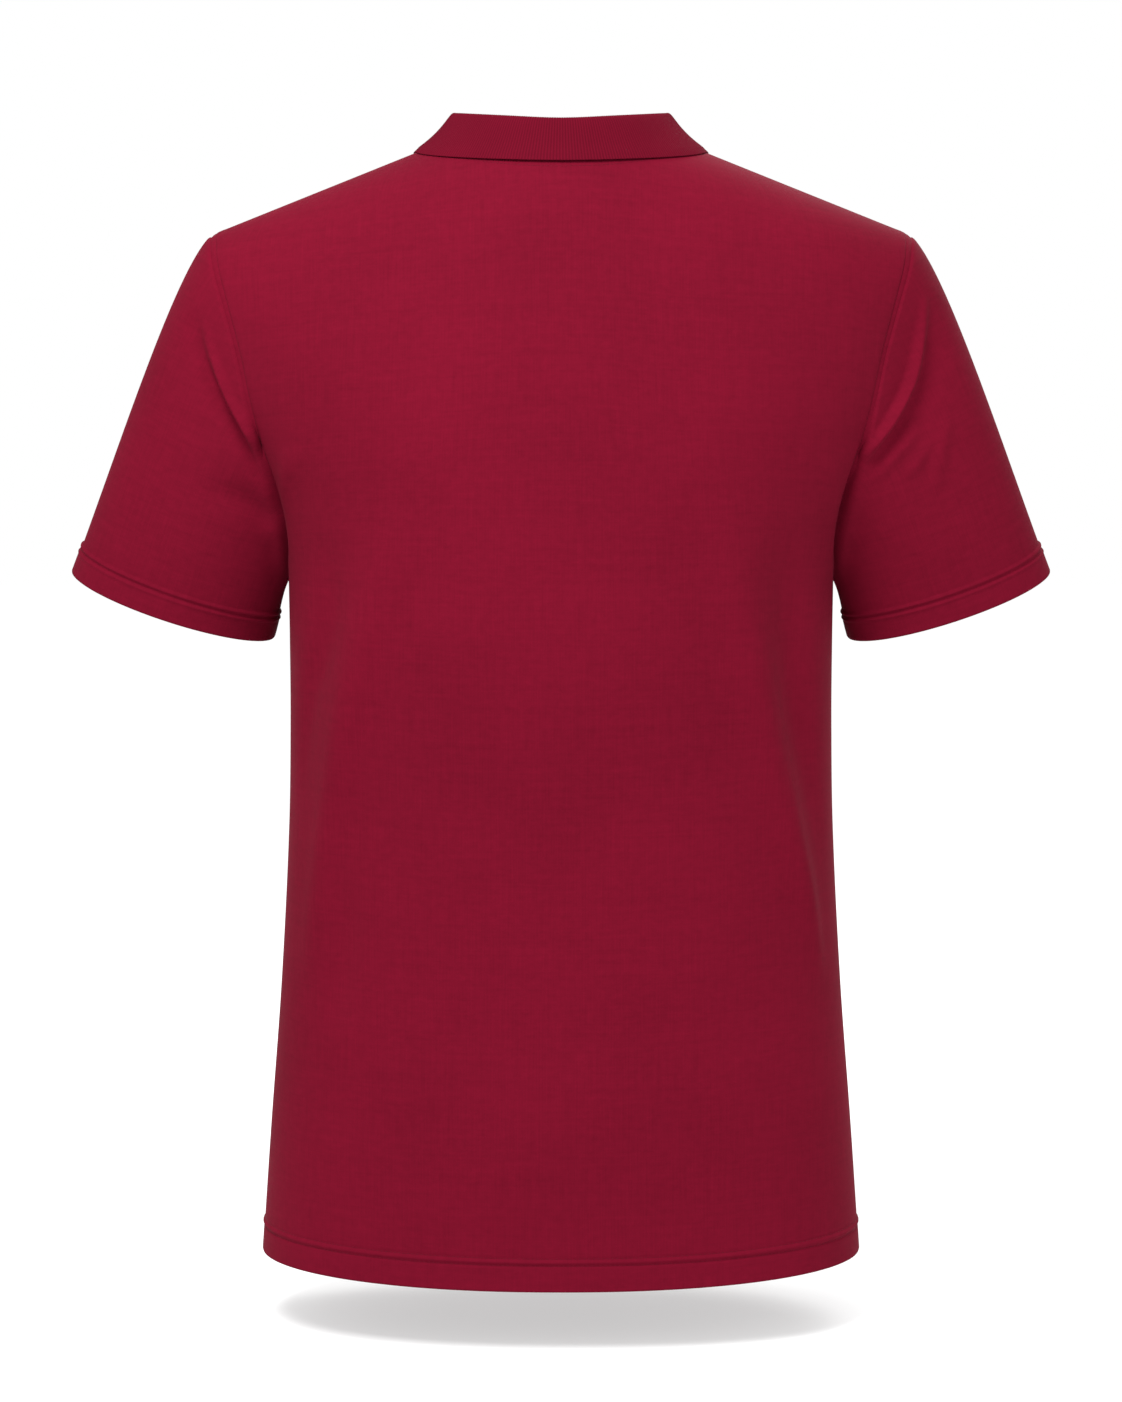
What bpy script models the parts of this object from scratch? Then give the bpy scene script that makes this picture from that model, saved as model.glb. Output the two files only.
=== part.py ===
"""A short-sleeved polo shirt in its hollow, worn form, made of the pieces that a maker cuts and sews.

Metres, +Z up. The front with the placket faces -Y and the wearer's left side is at +X. The origin lies
in the neck opening, level with the tops of the shoulders, where a wearer holds the shirt up.
"""
import math
from collections import namedtuple

import bmesh
import bpy
from mathutils import Vector

MM = 0.001

# Cloth
WALL = 1.4 * MM
HEM_WALL = 2.4 * MM
COLLAR_WALL = 1.6 * MM
SEAM_GAP = 0.3 * MM

# Body: rings of the trunk from the hem up to the armpits
SECTION_POWER = 2.3
ARMPIT_HEIGHT = -0.272
HEM_HEIGHT = -0.7025
HEM_DIP = 0.005

Ring = namedtuple("Ring", "height half_width back_depth front_depth")
RINGS = (
    Ring(-0.7025, 0.1920, 0.124, 0.117),
    Ring(-0.620, 0.1862, 0.120, 0.112),
    Ring(-0.530, 0.1793, 0.114, 0.107),
    Ring(-0.430, 0.1740, 0.115, 0.108),
    Ring(-0.360, 0.1728, 0.1205, 0.1145),
    Ring(-0.310, 0.1730, 0.1243, 0.1184),
    Ring(-0.272, 0.1735, 0.1250, 0.1190),
)

# Armhole: its edge from the armpit (rise 0) to the shoulder point (rise 1)
SHOULDER_HEIGHT = -0.0525
Armhole = namedtuple("Armhole", "rise half_width")
ARMHOLE = (
    Armhole(0.00, 0.1735),
    Armhole(0.07, 0.1746),
    Armhole(0.20, 0.1782),
    Armhole(0.40, 0.1890),
    Armhole(0.65, 0.2003),
    Armhole(0.80, 0.2092),
    Armhole(0.91, 0.2158),
    Armhole(1.00, 0.2185),
)
ARMHOLE_NORMAL = Vector((0.980, 0.0, -0.200)).normalized()
ARMHOLE_CUT = 0.10
ARMHOLE_CUT_RISE = 0.55
COLUMN_CHANGE_RISE = 0.4

# Shoulders: both panels round over to one ridge, which runs on upward inside the neck opening
RIDGE_DEPTH = -0.009
BACK_ROUND = 2.6
FRONT_ROUND = 2.4
FRONT_MIDDLE_ROUND = 1.7
ROUND_CHANGE = (0.030, 0.120)

# Neck edge cut out of that form
NECK_HALF_WIDTH = 0.078
NECK_SIDE_HEIGHT = 0.0036
BACK_NECK_HEIGHT = -0.006
FRONT_NECK_HEIGHT = -0.072

# Placket and its opening in the front
OPENING_HALF_WIDTH = 0.013
PLACKET_HALF_WIDTH = 0.0165
PLACKET_OVERRUN = 0.0065
PLACKET_RISE = 0.36

# Sleeve: the ring of its cuff
CUFF_OUTER = Vector((0.3128, -0.026, -0.2685))
CUFF_INNER = Vector((0.1862, -0.026, -0.3098))
CUFF_HALF_DEPTH = 0.046
CUFF_FORWARD = 0.185
CUFF_POWER = 2.2
SLEEVE_START_PULL = (0.35, 0.30)
SLEEVE_END_PULL = (0.90, 1.05)
SLEEVE_END_CHORD = 0.60
SLEEVE_CARRY_ON = (0.15, 0.65)
SLEEVE_HEM_SHARE = 0.92

# Collar: one row for each station, from the middle of the back (0) to the front end (1), with one station
# past the middle so that the curve runs level there. The fold is a place in space, and the leaf's edge lies
# over the point of the shirt at its x and height.
Station = namedtuple("Station", "along fold_x fold_y fold_z edge_x edge_z")
COLLAR = (
    Station(-0.18, -0.0345, 0.0545, 0.0183, -0.0450, -0.0092),
    Station(0.00, 0.0000, 0.0655, 0.0175, 0.0000, -0.0101),
    Station(0.18, 0.0345, 0.0545, 0.0183, 0.0450, -0.0092),
    Station(0.34, 0.0585, 0.0310, 0.0205, 0.0770, -0.0075),
    Station(0.42, 0.0655, 0.0140, 0.0220, 0.0890, -0.0060),
    Station(0.50, 0.0680, -0.0060, 0.0225, 0.0935, -0.0025),
    Station(0.58, 0.0670, -0.0270, 0.0160, 0.0925, -0.0125),
    Station(0.66, 0.0610, -0.0450, 0.0020, 0.0860, -0.0300),
    Station(0.84, 0.0370, -0.0700, -0.0290, 0.0620, -0.0620),
    Station(1.00, 0.0050, -0.0800, -0.0480, 0.0310, -0.0900),
)
COLLAR_CLEAR = 1.0 * MM
COLLAR_END_X = 0.004

# How the collar's curve runs over the fold: shares of the height of its stand and of the length of its leaf
FOLD_ARRIVAL = (0.36, 0.30)
FOLD_LEAVING = (0.45, 0.05)
LEAF_KICK = 0.3

# Buttons
BUTTON_RADIUS = 5.75 * MM
BUTTON_HEIGHTS = (-0.0855, -0.1265, -0.1675)
BUTTON_SIDES = 16
ButtonTurn = namedtuple("ButtonTurn", "radius rise")
BUTTON_PROFILE = (
    ButtonTurn(0.78, 0.0 * MM),
    ButtonTurn(0.97, 0.7 * MM),
    ButtonTurn(1.00, 1.4 * MM),
    ButtonTurn(0.92, 2.2 * MM),
    ButtonTurn(0.80, 2.4 * MM),
    ButtonTurn(0.66, 1.9 * MM),
)

# How finely the solids are faceted: degrees round the neck, then shares across, up and along
NECK_TURNS = (20.0, 33.0, 46.0, 58.0, 69.0, 78.0, 85.0, 88.5, 90.0)
SHOULDER_ACROSS = (0.42, 0.55, 0.68, 0.80, 0.91, 1.0)
BODY_RISES = (0.0, 0.047, 0.25, 0.50, 0.75, 0.92)
ARMHOLE_RISES = (0.0, 0.03, 0.10, 0.20, PLACKET_RISE, 0.52, 0.67, 0.80, 0.90, 0.96, 0.988, 1.0)
SLEEVE_SHARES = (0.0, 0.03, 0.10, 0.20, 0.34, 0.50, 0.68, 0.84, SLEEVE_HEM_SHARE, 1.0)
STAND_STEPS = 4
LEAF_STEPS = 5

BACK = 1.0
FRONT = -1.0
FORM_RISE = 1.5
BELOW_RIDGE = 0.995
BEFORE_EDGE = 0.97

CLOTH_COLOUR = (0.255, 0.008, 0.028, 1.0)
RIB_COLOUR = (0.235, 0.008, 0.026, 1.0)
BUTTON_COLOUR = (0.200, 0.010, 0.025, 1.0)


def clear_scene():
    """Remove whatever the scene holds before modelling starts."""
    for item in list(bpy.data.objects):
        bpy.data.objects.remove(item, do_unlink=True)


def material(name, colour, roughness):
    """A Principled material of one colour."""
    made = bpy.data.materials.new(name)
    made.use_nodes = True
    shader = made.node_tree.nodes["Principled BSDF"]
    shader.inputs["Base Color"].default_value = colour
    shader.inputs["Roughness"].default_value = roughness
    shader.inputs["Metallic"].default_value = 0.0
    return made


def mix(first, second, share):
    return first + (second - first) * share


def smooth_step(value):
    value = min(max(value, 0.0), 1.0)
    return value * value * (3.0 - 2.0 * value)


def read_table(rows, at, column):
    """Read one column of a table at a value of its first column, along a smooth curve through the rows."""
    keys = [row[0] for row in rows]
    values = [getattr(row, column) for row in rows]
    last = len(rows) - 1
    at = min(max(at, keys[0]), keys[last])
    index = max(i for i in range(last) if keys[i] <= at)

    def slope(i):
        low = max(i - 1, 0)
        high = min(i + 1, last)
        return (values[high] - values[low]) / (keys[high] - keys[low])

    step = keys[index + 1] - keys[index]
    share = (at - keys[index]) / step
    square = share * share
    cube = square * share
    return ((2 * cube - 3 * square + 1) * values[index] + (cube - 2 * square + share) * step * slope(index)
            + (3 * square - 2 * cube) * values[index + 1] + (cube - square) * step * slope(index + 1))


def hermite(start, start_pull, end, end_pull, share):
    """A point on the curve that leaves one point along a pull and reaches another along a second pull."""
    square = share * share
    cube = square * share
    return (start * (2 * cube - 3 * square + 1) + start_pull * (cube - 2 * square + share)
            + end * (3 * square - 2 * cube) + end_pull * (cube - square))


def ring_share(across):
    """How far out a column stands on a ring of the trunk, evened out round its sides."""
    return math.sin(0.5 * math.pi * across) ** (2.0 / SECTION_POWER)


def column_x(across, half_width, ringed):
    """The distance from the middle of a column of a panel; across runs from 0 to 1 at the panel's edge."""
    spread = mix(across, ring_share(across), ringed)
    return OPENING_HALF_WIDTH + (half_width - OPENING_HALF_WIDTH) * spread


def ring_depth(share):
    return (1.0 - min(share, 1.0) ** SECTION_POWER) ** (1.0 / SECTION_POWER)


def ridge_height(x):
    """The height of the shoulder ridge, which would meet its mirror image above the neck opening."""
    slope = (SHOULDER_HEIGHT - NECK_SIDE_HEIGHT) / (ARMHOLE[-1].half_width - NECK_HALF_WIDTH)
    return NECK_SIDE_HEIGHT + (x - NECK_HALF_WIDTH) * slope


def top_height(side, x):
    """The height at which a panel ends, at its shoulder seam or its neck edge."""
    if x >= NECK_HALF_WIDTH:
        return ridge_height(x)
    middle = BACK_NECK_HEIGHT if side == BACK else FRONT_NECK_HEIGHT
    return mix(NECK_SIDE_HEIGHT, middle, math.sqrt(1.0 - (x / NECK_HALF_WIDTH) ** 2))


def full_depth(side, x, lift):
    """The depth that the shirt would have at a distance from the middle if it didn't round over."""
    half_width = read_table(ARMHOLE, lift, "half_width")
    depth = RINGS[-1].back_depth if side == BACK else RINGS[-1].front_depth
    cut = 1.0 - ARMHOLE_CUT * smooth_step(lift / ARMHOLE_CUT_RISE)
    return side * depth * ring_depth(x / half_width * cut)


def round_power(side, x):
    """How boxy the rounding over the shoulder is: the lower front slopes more gently to the neck."""
    if side == BACK:
        return BACK_ROUND
    start, end = ROUND_CHANGE
    return mix(FRONT_MIDDLE_ROUND, FRONT_ROUND, smooth_step((x - start) / (end - start)))


def shoulder_depth(side, x, height, lift):
    """The depth of the shirt above the armpits, where it rounds over from its full depth to the ridge."""
    climb = min((height - ARMPIT_HEIGHT) / (ridge_height(x) - ARMPIT_HEIGHT), 1.0)
    power = round_power(side, x)
    return mix(RIDGE_DEPTH, full_depth(side, x, lift), (1.0 - climb ** power) ** (1.0 / power))


def form_normal(side, point):
    """The outward direction of the shirt's form at a point near its neck or shoulder."""
    def form(x, y, z):
        x = abs(x)
        lift = min((z - ARMPIT_HEIGHT) / (top_height(side, x) - ARMPIT_HEIGHT), 1.0)
        power = round_power(side, x)
        reach = max((y - RIDGE_DEPTH) / (full_depth(side, x, lift) - RIDGE_DEPTH), 0.0)
        climb = (z - ARMPIT_HEIGHT) / (ridge_height(x) - ARMPIT_HEIGHT)
        return reach ** power + climb ** power

    x, y, z = point
    step = 0.05 * MM
    return Vector((form(x + step, y, z) - form(x - step, y, z),
                   form(x, y + step, z) - form(x, y - step, z),
                   form(x, y, z + step) - form(x, y, z - step))).normalized()


def body_point(side, across, rise):
    """A point on the outside of the back or front panel.

    across runs from 0 at the placket's edge to 1 at the side seam or armhole. rise runs from 0 at the hem
    to 1 at the armpit and on to 2 at the neck and shoulder.
    """
    if rise <= 1.0:
        height = mix(HEM_HEIGHT, ARMPIT_HEIGHT, rise)
        half_width = read_table(RINGS, height, "half_width")
        depth = read_table(RINGS, height, "back_depth" if side == BACK else "front_depth")
        x = column_x(across, half_width, 1.0)
        dip = HEM_DIP * (1.0 - rise) ** 2 * (1.0 - (x / half_width) ** 2)
        return Vector((x, side * depth * ring_depth(x / half_width), height - dip))
    lift = rise - 1.0
    x = column_x(across, read_table(ARMHOLE, lift, "half_width"), 1.0 - smooth_step(lift / COLUMN_CHANGE_RISE))
    height = mix(ARMPIT_HEIGHT, top_height(side, column_x(across, ARMHOLE[-1].half_width, 0.0)), lift)
    return Vector((x, shoulder_depth(side, x, height, lift), height))


def across_at(x):
    """The column of a panel that ends at a given distance from the middle."""
    return max((x - OPENING_HALF_WIDTH) / (ARMHOLE[-1].half_width - OPENING_HALF_WIDTH), 0.0)


def mirror(point):
    return Vector((-point.x, point.y, point.z))


def surface_normal(side, across, rise):
    """The outward direction of a panel at a point."""
    if rise > FORM_RISE:
        return form_normal(side, body_point(side, across, rise))
    step = 0.0005
    low = max(across - step, 0.0)
    high = min(across + step, 1.0)
    below = max(rise - step, 0.0)
    above = min(rise + step, 2.0)
    along = body_point(side, high, rise) - body_point(side, low, rise)
    up = body_point(side, across, above) - body_point(side, across, below)
    normal = along.cross(up) * -side
    return normal.normalized()


def armhole_edge(turn):
    """The armhole's edge, its seam normal in the plane of the hole; turn is -1 to 1, front to back, 0 low."""
    side = BACK if turn >= 0.0 else FRONT
    lift = (1.0 - math.cos(math.pi * abs(turn))) / 2.0
    return body_point(side, 1.0, 1.0 + lift)


def armhole_normal(turn):
    step = 0.01
    along = armhole_edge(min(turn + step, 1.0)) - armhole_edge(max(turn - step, -1.0))
    return ARMHOLE_NORMAL.cross(along).normalized() * -1.0


def turn_of(lift):
    return math.acos(1.0 - 2.0 * lift) / math.pi


def split_corners(corners, grid):
    """Four corners of a grid as two triangles that meet along the shorter diagonal."""
    first, second, third, fourth = (grid[a][b] for a, b in corners)
    if (first - third).length <= (second - fourth).length:
        return (corners[0], corners[1], corners[2]), (corners[0], corners[2], corners[3])
    return (corners[0], corners[1], corners[3]), (corners[1], corners[2], corners[3])


def cloth_solid(name, outer, inner, finish, closed=False, missing=()):
    """A closed wall of cloth between two grids of points; closed joins the last column to the first."""
    mesh = bmesh.new()
    rows = len(outer)
    columns = len(outer[0])
    outside = [[mesh.verts.new(point) for point in row] for row in outer]
    inside = [[mesh.verts.new(point) for point in row] for row in inner]
    uses = {}
    for i in range(rows - 1):
        for j in range(columns if closed else columns - 1):
            if (i, j) in missing:
                continue
            k = (j + 1) % columns
            corners = ((i, j), (i, k), (i + 1, k), (i + 1, j))
            for triangle in split_corners(corners, outer):
                mesh.faces.new([outside[a][b] for a, b in triangle])
                mesh.faces.new([inside[a][b] for a, b in reversed(triangle)])
            for start, end in zip(corners, corners[1:] + corners[:1]):
                if (end, start) in uses:
                    del uses[(end, start)]
                else:
                    uses[(start, end)] = True
    for start, end in uses:
        mesh.faces.new((outside[end[0]][end[1]], outside[start[0]][start[1]],
                        inside[start[0]][start[1]], inside[end[0]][end[1]]))
    loose = [vert for vert in mesh.verts if not vert.link_faces]
    bmesh.ops.delete(mesh, geom=loose, context="VERTS")
    bmesh.ops.recalc_face_normals(mesh, faces=mesh.faces)
    data = bpy.data.meshes.new(name)
    mesh.to_mesh(data)
    mesh.free()
    data.shade_smooth()
    made = bpy.data.objects.new(name, data)
    data.materials.append(finish)
    bpy.context.collection.objects.link(made)
    return made


def body_rows():
    return list(BODY_RISES) + [1.0 + lift for lift in ARMHOLE_RISES]


def neck_columns():
    """The columns of a panel from the placket's edge out to the neck's side."""
    inner = [across_at(NECK_HALF_WIDTH * math.sin(math.radians(turn))) for turn in NECK_TURNS[:-1]]
    return [0.0] + inner + [across_at(NECK_HALF_WIDTH)]


def at_side_seam(across, rise):
    return across == 1.0 and rise <= 1.0


def at_shoulder_seam(across, rise):
    return rise == 2.0 and across >= across_at(NECK_HALF_WIDTH)


def seam_side(side, across, rise):
    """How far a panel's edge is drawn back at the side and shoulder seams, so that pieces lie apart."""
    return side * 0.5 * SEAM_GAP if at_side_seam(across, rise) or at_shoulder_seam(across, rise) else 0.0


def edge_normal(side, across, rise):
    """A panel's thickness direction, kept within the seam's plane where two pieces meet edge to edge."""
    normal = surface_normal(side, across, rise)
    if across == 1.0 and rise > 1.0:
        normal = armhole_normal(side * turn_of(rise - 1.0))
    if at_side_seam(across, rise) or at_shoulder_seam(across, rise):
        normal.y = 0.0
    return normal.normalized()


def body_panel(name, side, finish):
    """The back or the front panel; the front has the opening for the placket cut out of it."""
    across_steps = neck_columns() + list(SHOULDER_ACROSS)
    outer = []
    inner = []
    for rise in body_rows():
        wall = HEM_WALL if rise < BODY_RISES[1] else WALL
        half = []
        for across in across_steps:
            point = body_point(side, across, rise)
            point.y += seam_side(side, across, rise)
            half.append((point, point - edge_normal(side, across, rise) * wall))
        left = [pair[0] for pair in half]
        left_inner = [pair[1] for pair in half]
        outer.append([mirror(point) for point in reversed(left)] + left)
        inner.append([mirror(point) for point in reversed(left_inner)] + left_inner)
    missing = set()
    if side == FRONT:
        middle = len(across_steps) - 1
        opening_row = len(BODY_RISES) + ARMHOLE_RISES.index(PLACKET_RISE)
        missing = {(row, middle) for row in range(opening_row, len(outer) - 1)}
    return cloth_solid(name, outer, inner, finish, missing=missing)


def cuff_edge(turn):
    middle = (CUFF_OUTER + CUFF_INNER) / 2.0
    across = (CUFF_OUTER - CUFF_INNER) / 2.0
    back = Vector((0.0, 1.0, -CUFF_FORWARD)).normalized() * CUFF_HALF_DEPTH
    angle = math.pi * turn
    power = 2.0 / CUFF_POWER
    level = math.copysign(abs(math.cos(angle)) ** power, math.cos(angle))
    depth = math.copysign(abs(math.sin(angle)) ** power, math.sin(angle))
    return middle - across * level + back * depth


def sleeve_point(turn, share):
    """A point on the outside of the wearer's left sleeve, from the armhole (share 0) to the cuff (1)."""
    start = armhole_edge(turn) + ARMHOLE_NORMAL * SEAM_GAP
    end = cuff_edge(turn)
    side = BACK if turn >= 0.0 else FRONT
    lift = (1.0 - math.cos(math.pi * turn)) / 2.0
    rise = 1.0 + min(lift, BELOW_RIDGE)
    leaving = body_point(side, 1.0, rise) - body_point(side, BEFORE_EDGE, rise)
    low, high = SLEEVE_CARRY_ON
    carried = smooth_step((lift - low) / (high - low))
    leaving = mix(ARMHOLE_NORMAL, leaving.normalized(), carried).normalized()
    axis = (CUFF_OUTER - CUFF_INNER).cross(Vector((0.0, 1.0, -CUFF_FORWARD))).normalized()
    if axis.z > 0.0:
        axis.negate()
    length = (end - start).length
    axis = mix(axis, (end - start) / length, SLEEVE_END_CHORD * lift).normalized()
    start_pull = leaving * length * mix(*SLEEVE_START_PULL, lift)
    end_pull = axis * length * mix(*SLEEVE_END_PULL, lift)
    return hermite(start, start_pull, end, end_pull, share)


def sleeve_normal(turn, share):
    if share == 0.0:
        return armhole_normal(turn)
    step = 0.004
    along = sleeve_point(turn, min(share + step, 1.0)) - sleeve_point(turn, share - step)
    around = sleeve_point(turn + step, share) - sleeve_point(turn - step, share)
    return around.cross(along).normalized()


def sleeve(name, mirrored, finish):
    turns = [-turn_of(lift) for lift in reversed(ARMHOLE_RISES[1:])]
    turns += [turn_of(lift) for lift in ARMHOLE_RISES[:-1]]
    outer = []
    inner = []
    for share in SLEEVE_SHARES:
        wall = HEM_WALL if share > SLEEVE_HEM_SHARE else WALL
        ring = [sleeve_point(turn, share) for turn in turns]
        ring_inner = [point - sleeve_normal(turn, share) * wall for point, turn in zip(ring, turns)]
        outer.append([mirror(point) for point in ring] if mirrored else ring)
        inner.append([mirror(point) for point in ring_inner] if mirrored else ring_inner)
    return cloth_solid(name, outer, inner, finish, closed=True)


def neck_station(along):
    """The neck edge at a station, from the middle of the back (0) over the shoulder (0.5) to the front (1).

    It gives the edge's point, the thickness direction of the panel there and the way out of the panel.
    """
    side = BACK if along < 0.5 else FRONT
    turn = math.pi * (along if side == BACK else 1.0 - along)
    x = NECK_HALF_WIDTH * math.sin(turn)
    across = across_at(max(x, OPENING_HALF_WIDTH))
    point = body_point(side, across, 2.0)
    normal = edge_normal(side, across, 2.0)
    step = 0.0005
    inward = body_point(side, max(across - step, 0.0), 2.0)
    outward = body_point(side, min(across + step, across_at(NECK_HALF_WIDTH)), 2.0)
    run = (outward - inward) * side
    if abs(along - 0.5) < 1e-6:
        point.y = RIDGE_DEPTH
        run = Vector((0.0, -1.0, 0.0))
    if x < OPENING_HALF_WIDTH:
        point.x = x if side == BACK else max(x, COLLAR_END_X)
        normal.x = 0.0
        run = Vector((1.0, 0.0, 0.0)) * side
    normal.normalize()
    upward = run.cross(normal).normalized()
    return point, normal, upward


def over_shirt(along):
    """The place of the leaf's edge at a station, lifted off the shirt under it."""
    x = read_table(COLLAR, along, "edge_x")
    height = min(read_table(COLLAR, along, "edge_z"), ridge_height(x))
    side = BACK if along < 0.5 else FRONT
    lift = (height - ARMPIT_HEIGHT) / (ridge_height(x) - ARMPIT_HEIGHT)
    point = Vector((x, shoulder_depth(side, x, height, lift), height))
    return point + form_normal(side, point) * (COLLAR_CLEAR + COLLAR_WALL)


def collar_section(along):
    """The face of the collar that shows, from the neck seam up the stand, over the fold and down the leaf."""
    point, normal, upward = neck_station(along)
    seam = point + upward * SEAM_GAP - normal * WALL
    fold = Vector([read_table(COLLAR, along, name) for name in ("fold_x", "fold_y", "fold_z")])
    edge = over_shirt(along)
    outward = Vector((fold.x, fold.y - RIDGE_DEPTH, 0.0)).normalized()
    stand = (fold - seam).length
    leaf = (edge - fold).length
    rise = Vector((0.0, 0.0, 1.0))
    arrival = outward * FOLD_ARRIVAL[0] + rise * FOLD_ARRIVAL[1]
    leaving = outward * FOLD_LEAVING[0] + rise * FOLD_LEAVING[1]
    landing = ((edge - fold).normalized() + outward * LEAF_KICK).normalized()
    points = []
    for step in range(STAND_STEPS):
        points.append(hermite(seam, upward * stand, fold, arrival * stand, step / STAND_STEPS))
    for step in range(LEAF_STEPS + 1):
        points.append(hermite(fold, leaving * leaf, edge, landing * leaf, step / LEAF_STEPS))
    return points, point + upward * SEAM_GAP


def collar_stations():
    """The stations of the collar's left half, level with the columns of the panels that it is sewn to."""
    first = math.asin(OPENING_HALF_WIDTH / NECK_HALF_WIDTH) / math.pi
    back = [0.0, first] + [turn / 180.0 for turn in NECK_TURNS]
    return back + [1.0 - along for along in reversed(back[:-1])]


def collar(finish):
    shown = []
    seams = []
    for along in collar_stations():
        points, seam = collar_section(along)
        shown.append(points)
        seams.append(seam)
    shown = [[mirror(point) for point in section] for section in reversed(shown[1:])] + shown
    seams = [mirror(seam) for seam in reversed(seams[1:])] + seams
    hidden = []
    last = len(shown) - 1
    for i, section in enumerate(shown):
        row = [seams[i]]
        for j in range(1, len(section)):
            run = shown[min(i + 1, last)][j] - shown[max(i - 1, 0)][j]
            climb = section[min(j + 1, len(section) - 1)] - section[j - 1]
            row.append(section[j] + climb.cross(run).normalized() * COLLAR_WALL)
        hidden.append(row)
    return cloth_solid("collar", shown, hidden, finish)


def placket(name, half_width, low_rise, offset, finish):
    """A strip of cloth over the opening, made from the front panel's points and moved out by an offset."""
    rises = [low_rise] + [lift for lift in ARMHOLE_RISES if lift > low_rise + 0.01]
    outer = []
    inner = []
    for lift in rises:
        rise = 1.0 + min(lift, 0.997)
        point = body_point(FRONT, 0.0, rise)
        normal = surface_normal(FRONT, 0.0, rise)
        normal.x = 0.0
        normal.normalize()
        row = [Vector((x, point.y, point.z)) for x in (-half_width, half_width)]
        outer.append([corner + normal * (offset + WALL) for corner in row])
        inner.append([corner + normal * offset for corner in row])
    return cloth_solid(name, outer, inner, finish)


def button(name, height, finish):
    """A turned button that lies on the upper placket strip, with a raised rim and a sunk middle."""
    lift = (height - ARMPIT_HEIGHT) / (FRONT_NECK_HEIGHT - ARMPIT_HEIGHT)
    seat = body_point(FRONT, 0.0, 1.0 + lift)
    normal = surface_normal(FRONT, 0.0, 1.0 + lift)
    normal.x = 0.0
    normal.normalize()
    seat.x = 0.0
    seat += normal * (WALL + 2.0 * SEAM_GAP)
    sideways = Vector((1.0, 0.0, 0.0))
    upright = normal.cross(sideways)
    mesh = bmesh.new()
    turns = []
    for radius, rise in BUTTON_PROFILE:
        ring = []
        for step in range(BUTTON_SIDES):
            angle = 2.0 * math.pi * step / BUTTON_SIDES
            spoke = sideways * math.cos(angle) + upright * math.sin(angle)
            ring.append(mesh.verts.new(seat + spoke * radius * BUTTON_RADIUS + normal * rise))
        turns.append(ring)
    for low, high in zip(turns, turns[1:]):
        for step in range(BUTTON_SIDES):
            after = (step + 1) % BUTTON_SIDES
            mesh.faces.new((low[step], low[after], high[after], high[step]))
    mesh.faces.new(list(reversed(turns[0])))
    mesh.faces.new(turns[-1])
    bmesh.ops.recalc_face_normals(mesh, faces=mesh.faces)
    data = bpy.data.meshes.new(name)
    mesh.to_mesh(data)
    mesh.free()
    data.shade_smooth()
    data.set_sharp_from_angle(angle=math.radians(40.0))
    data.materials.append(finish)
    made = bpy.data.objects.new(name, data)
    bpy.context.collection.objects.link(made)
    return made


def main():
    clear_scene()
    cloth = material("knit_cloth", CLOTH_COLOUR, 0.85)
    rib = material("rib_knit", RIB_COLOUR, 0.88)
    plastic = material("button_plastic", BUTTON_COLOUR, 0.35)
    body_panel("back", BACK, cloth)
    body_panel("front", FRONT, cloth)
    sleeve("sleeve_left", False, cloth)
    sleeve("sleeve_right", True, cloth)
    collar(rib)
    neck_to_armpit = FRONT_NECK_HEIGHT - ARMPIT_HEIGHT
    placket("placket_under", OPENING_HALF_WIDTH - SEAM_GAP, PLACKET_RISE + SEAM_GAP / neck_to_armpit,
            -WALL, cloth)
    placket("placket_over", PLACKET_HALF_WIDTH, PLACKET_RISE - PLACKET_OVERRUN / neck_to_armpit,
            SEAM_GAP, cloth)
    for number, height in enumerate(BUTTON_HEIGHTS, start=1):
        button(f"button_{number}", height, plastic)


main()
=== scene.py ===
"""The looks of a short-sleeved polo shirt: knit panels, sleeves, ribbed collar, placket, stitching, buttons.

Laid out as a Blender add-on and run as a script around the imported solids. Metres, +Z up; the placket faces
-Y and the wearer's left side is at +X.
"""

import math
from collections import namedtuple

import bmesh
import bpy
import numpy as np
from mathutils import Matrix, Vector


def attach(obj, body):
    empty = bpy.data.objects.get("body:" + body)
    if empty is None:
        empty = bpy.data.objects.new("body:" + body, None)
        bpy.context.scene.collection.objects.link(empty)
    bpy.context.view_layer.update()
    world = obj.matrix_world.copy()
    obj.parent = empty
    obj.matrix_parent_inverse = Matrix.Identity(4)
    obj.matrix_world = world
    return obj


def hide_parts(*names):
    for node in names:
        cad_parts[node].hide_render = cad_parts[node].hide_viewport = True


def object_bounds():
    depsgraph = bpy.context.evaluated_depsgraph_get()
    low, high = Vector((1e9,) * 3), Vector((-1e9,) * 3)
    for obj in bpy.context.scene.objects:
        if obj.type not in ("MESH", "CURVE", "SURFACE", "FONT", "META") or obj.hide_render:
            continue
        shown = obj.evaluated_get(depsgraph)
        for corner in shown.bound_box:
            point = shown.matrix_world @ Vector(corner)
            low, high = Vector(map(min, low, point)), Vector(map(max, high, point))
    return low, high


bl_info = {
    "name": "Polo Shirt",
    "version": (1, 0, 0),
    "blender": (4, 5, 0),
    "location": "3D View > Sidebar > Polo Shirt",
    "description": "Models the cloth, collar, placket, stitching and buttons of a worn polo shirt",
    "category": "Add Mesh",
}

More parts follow.
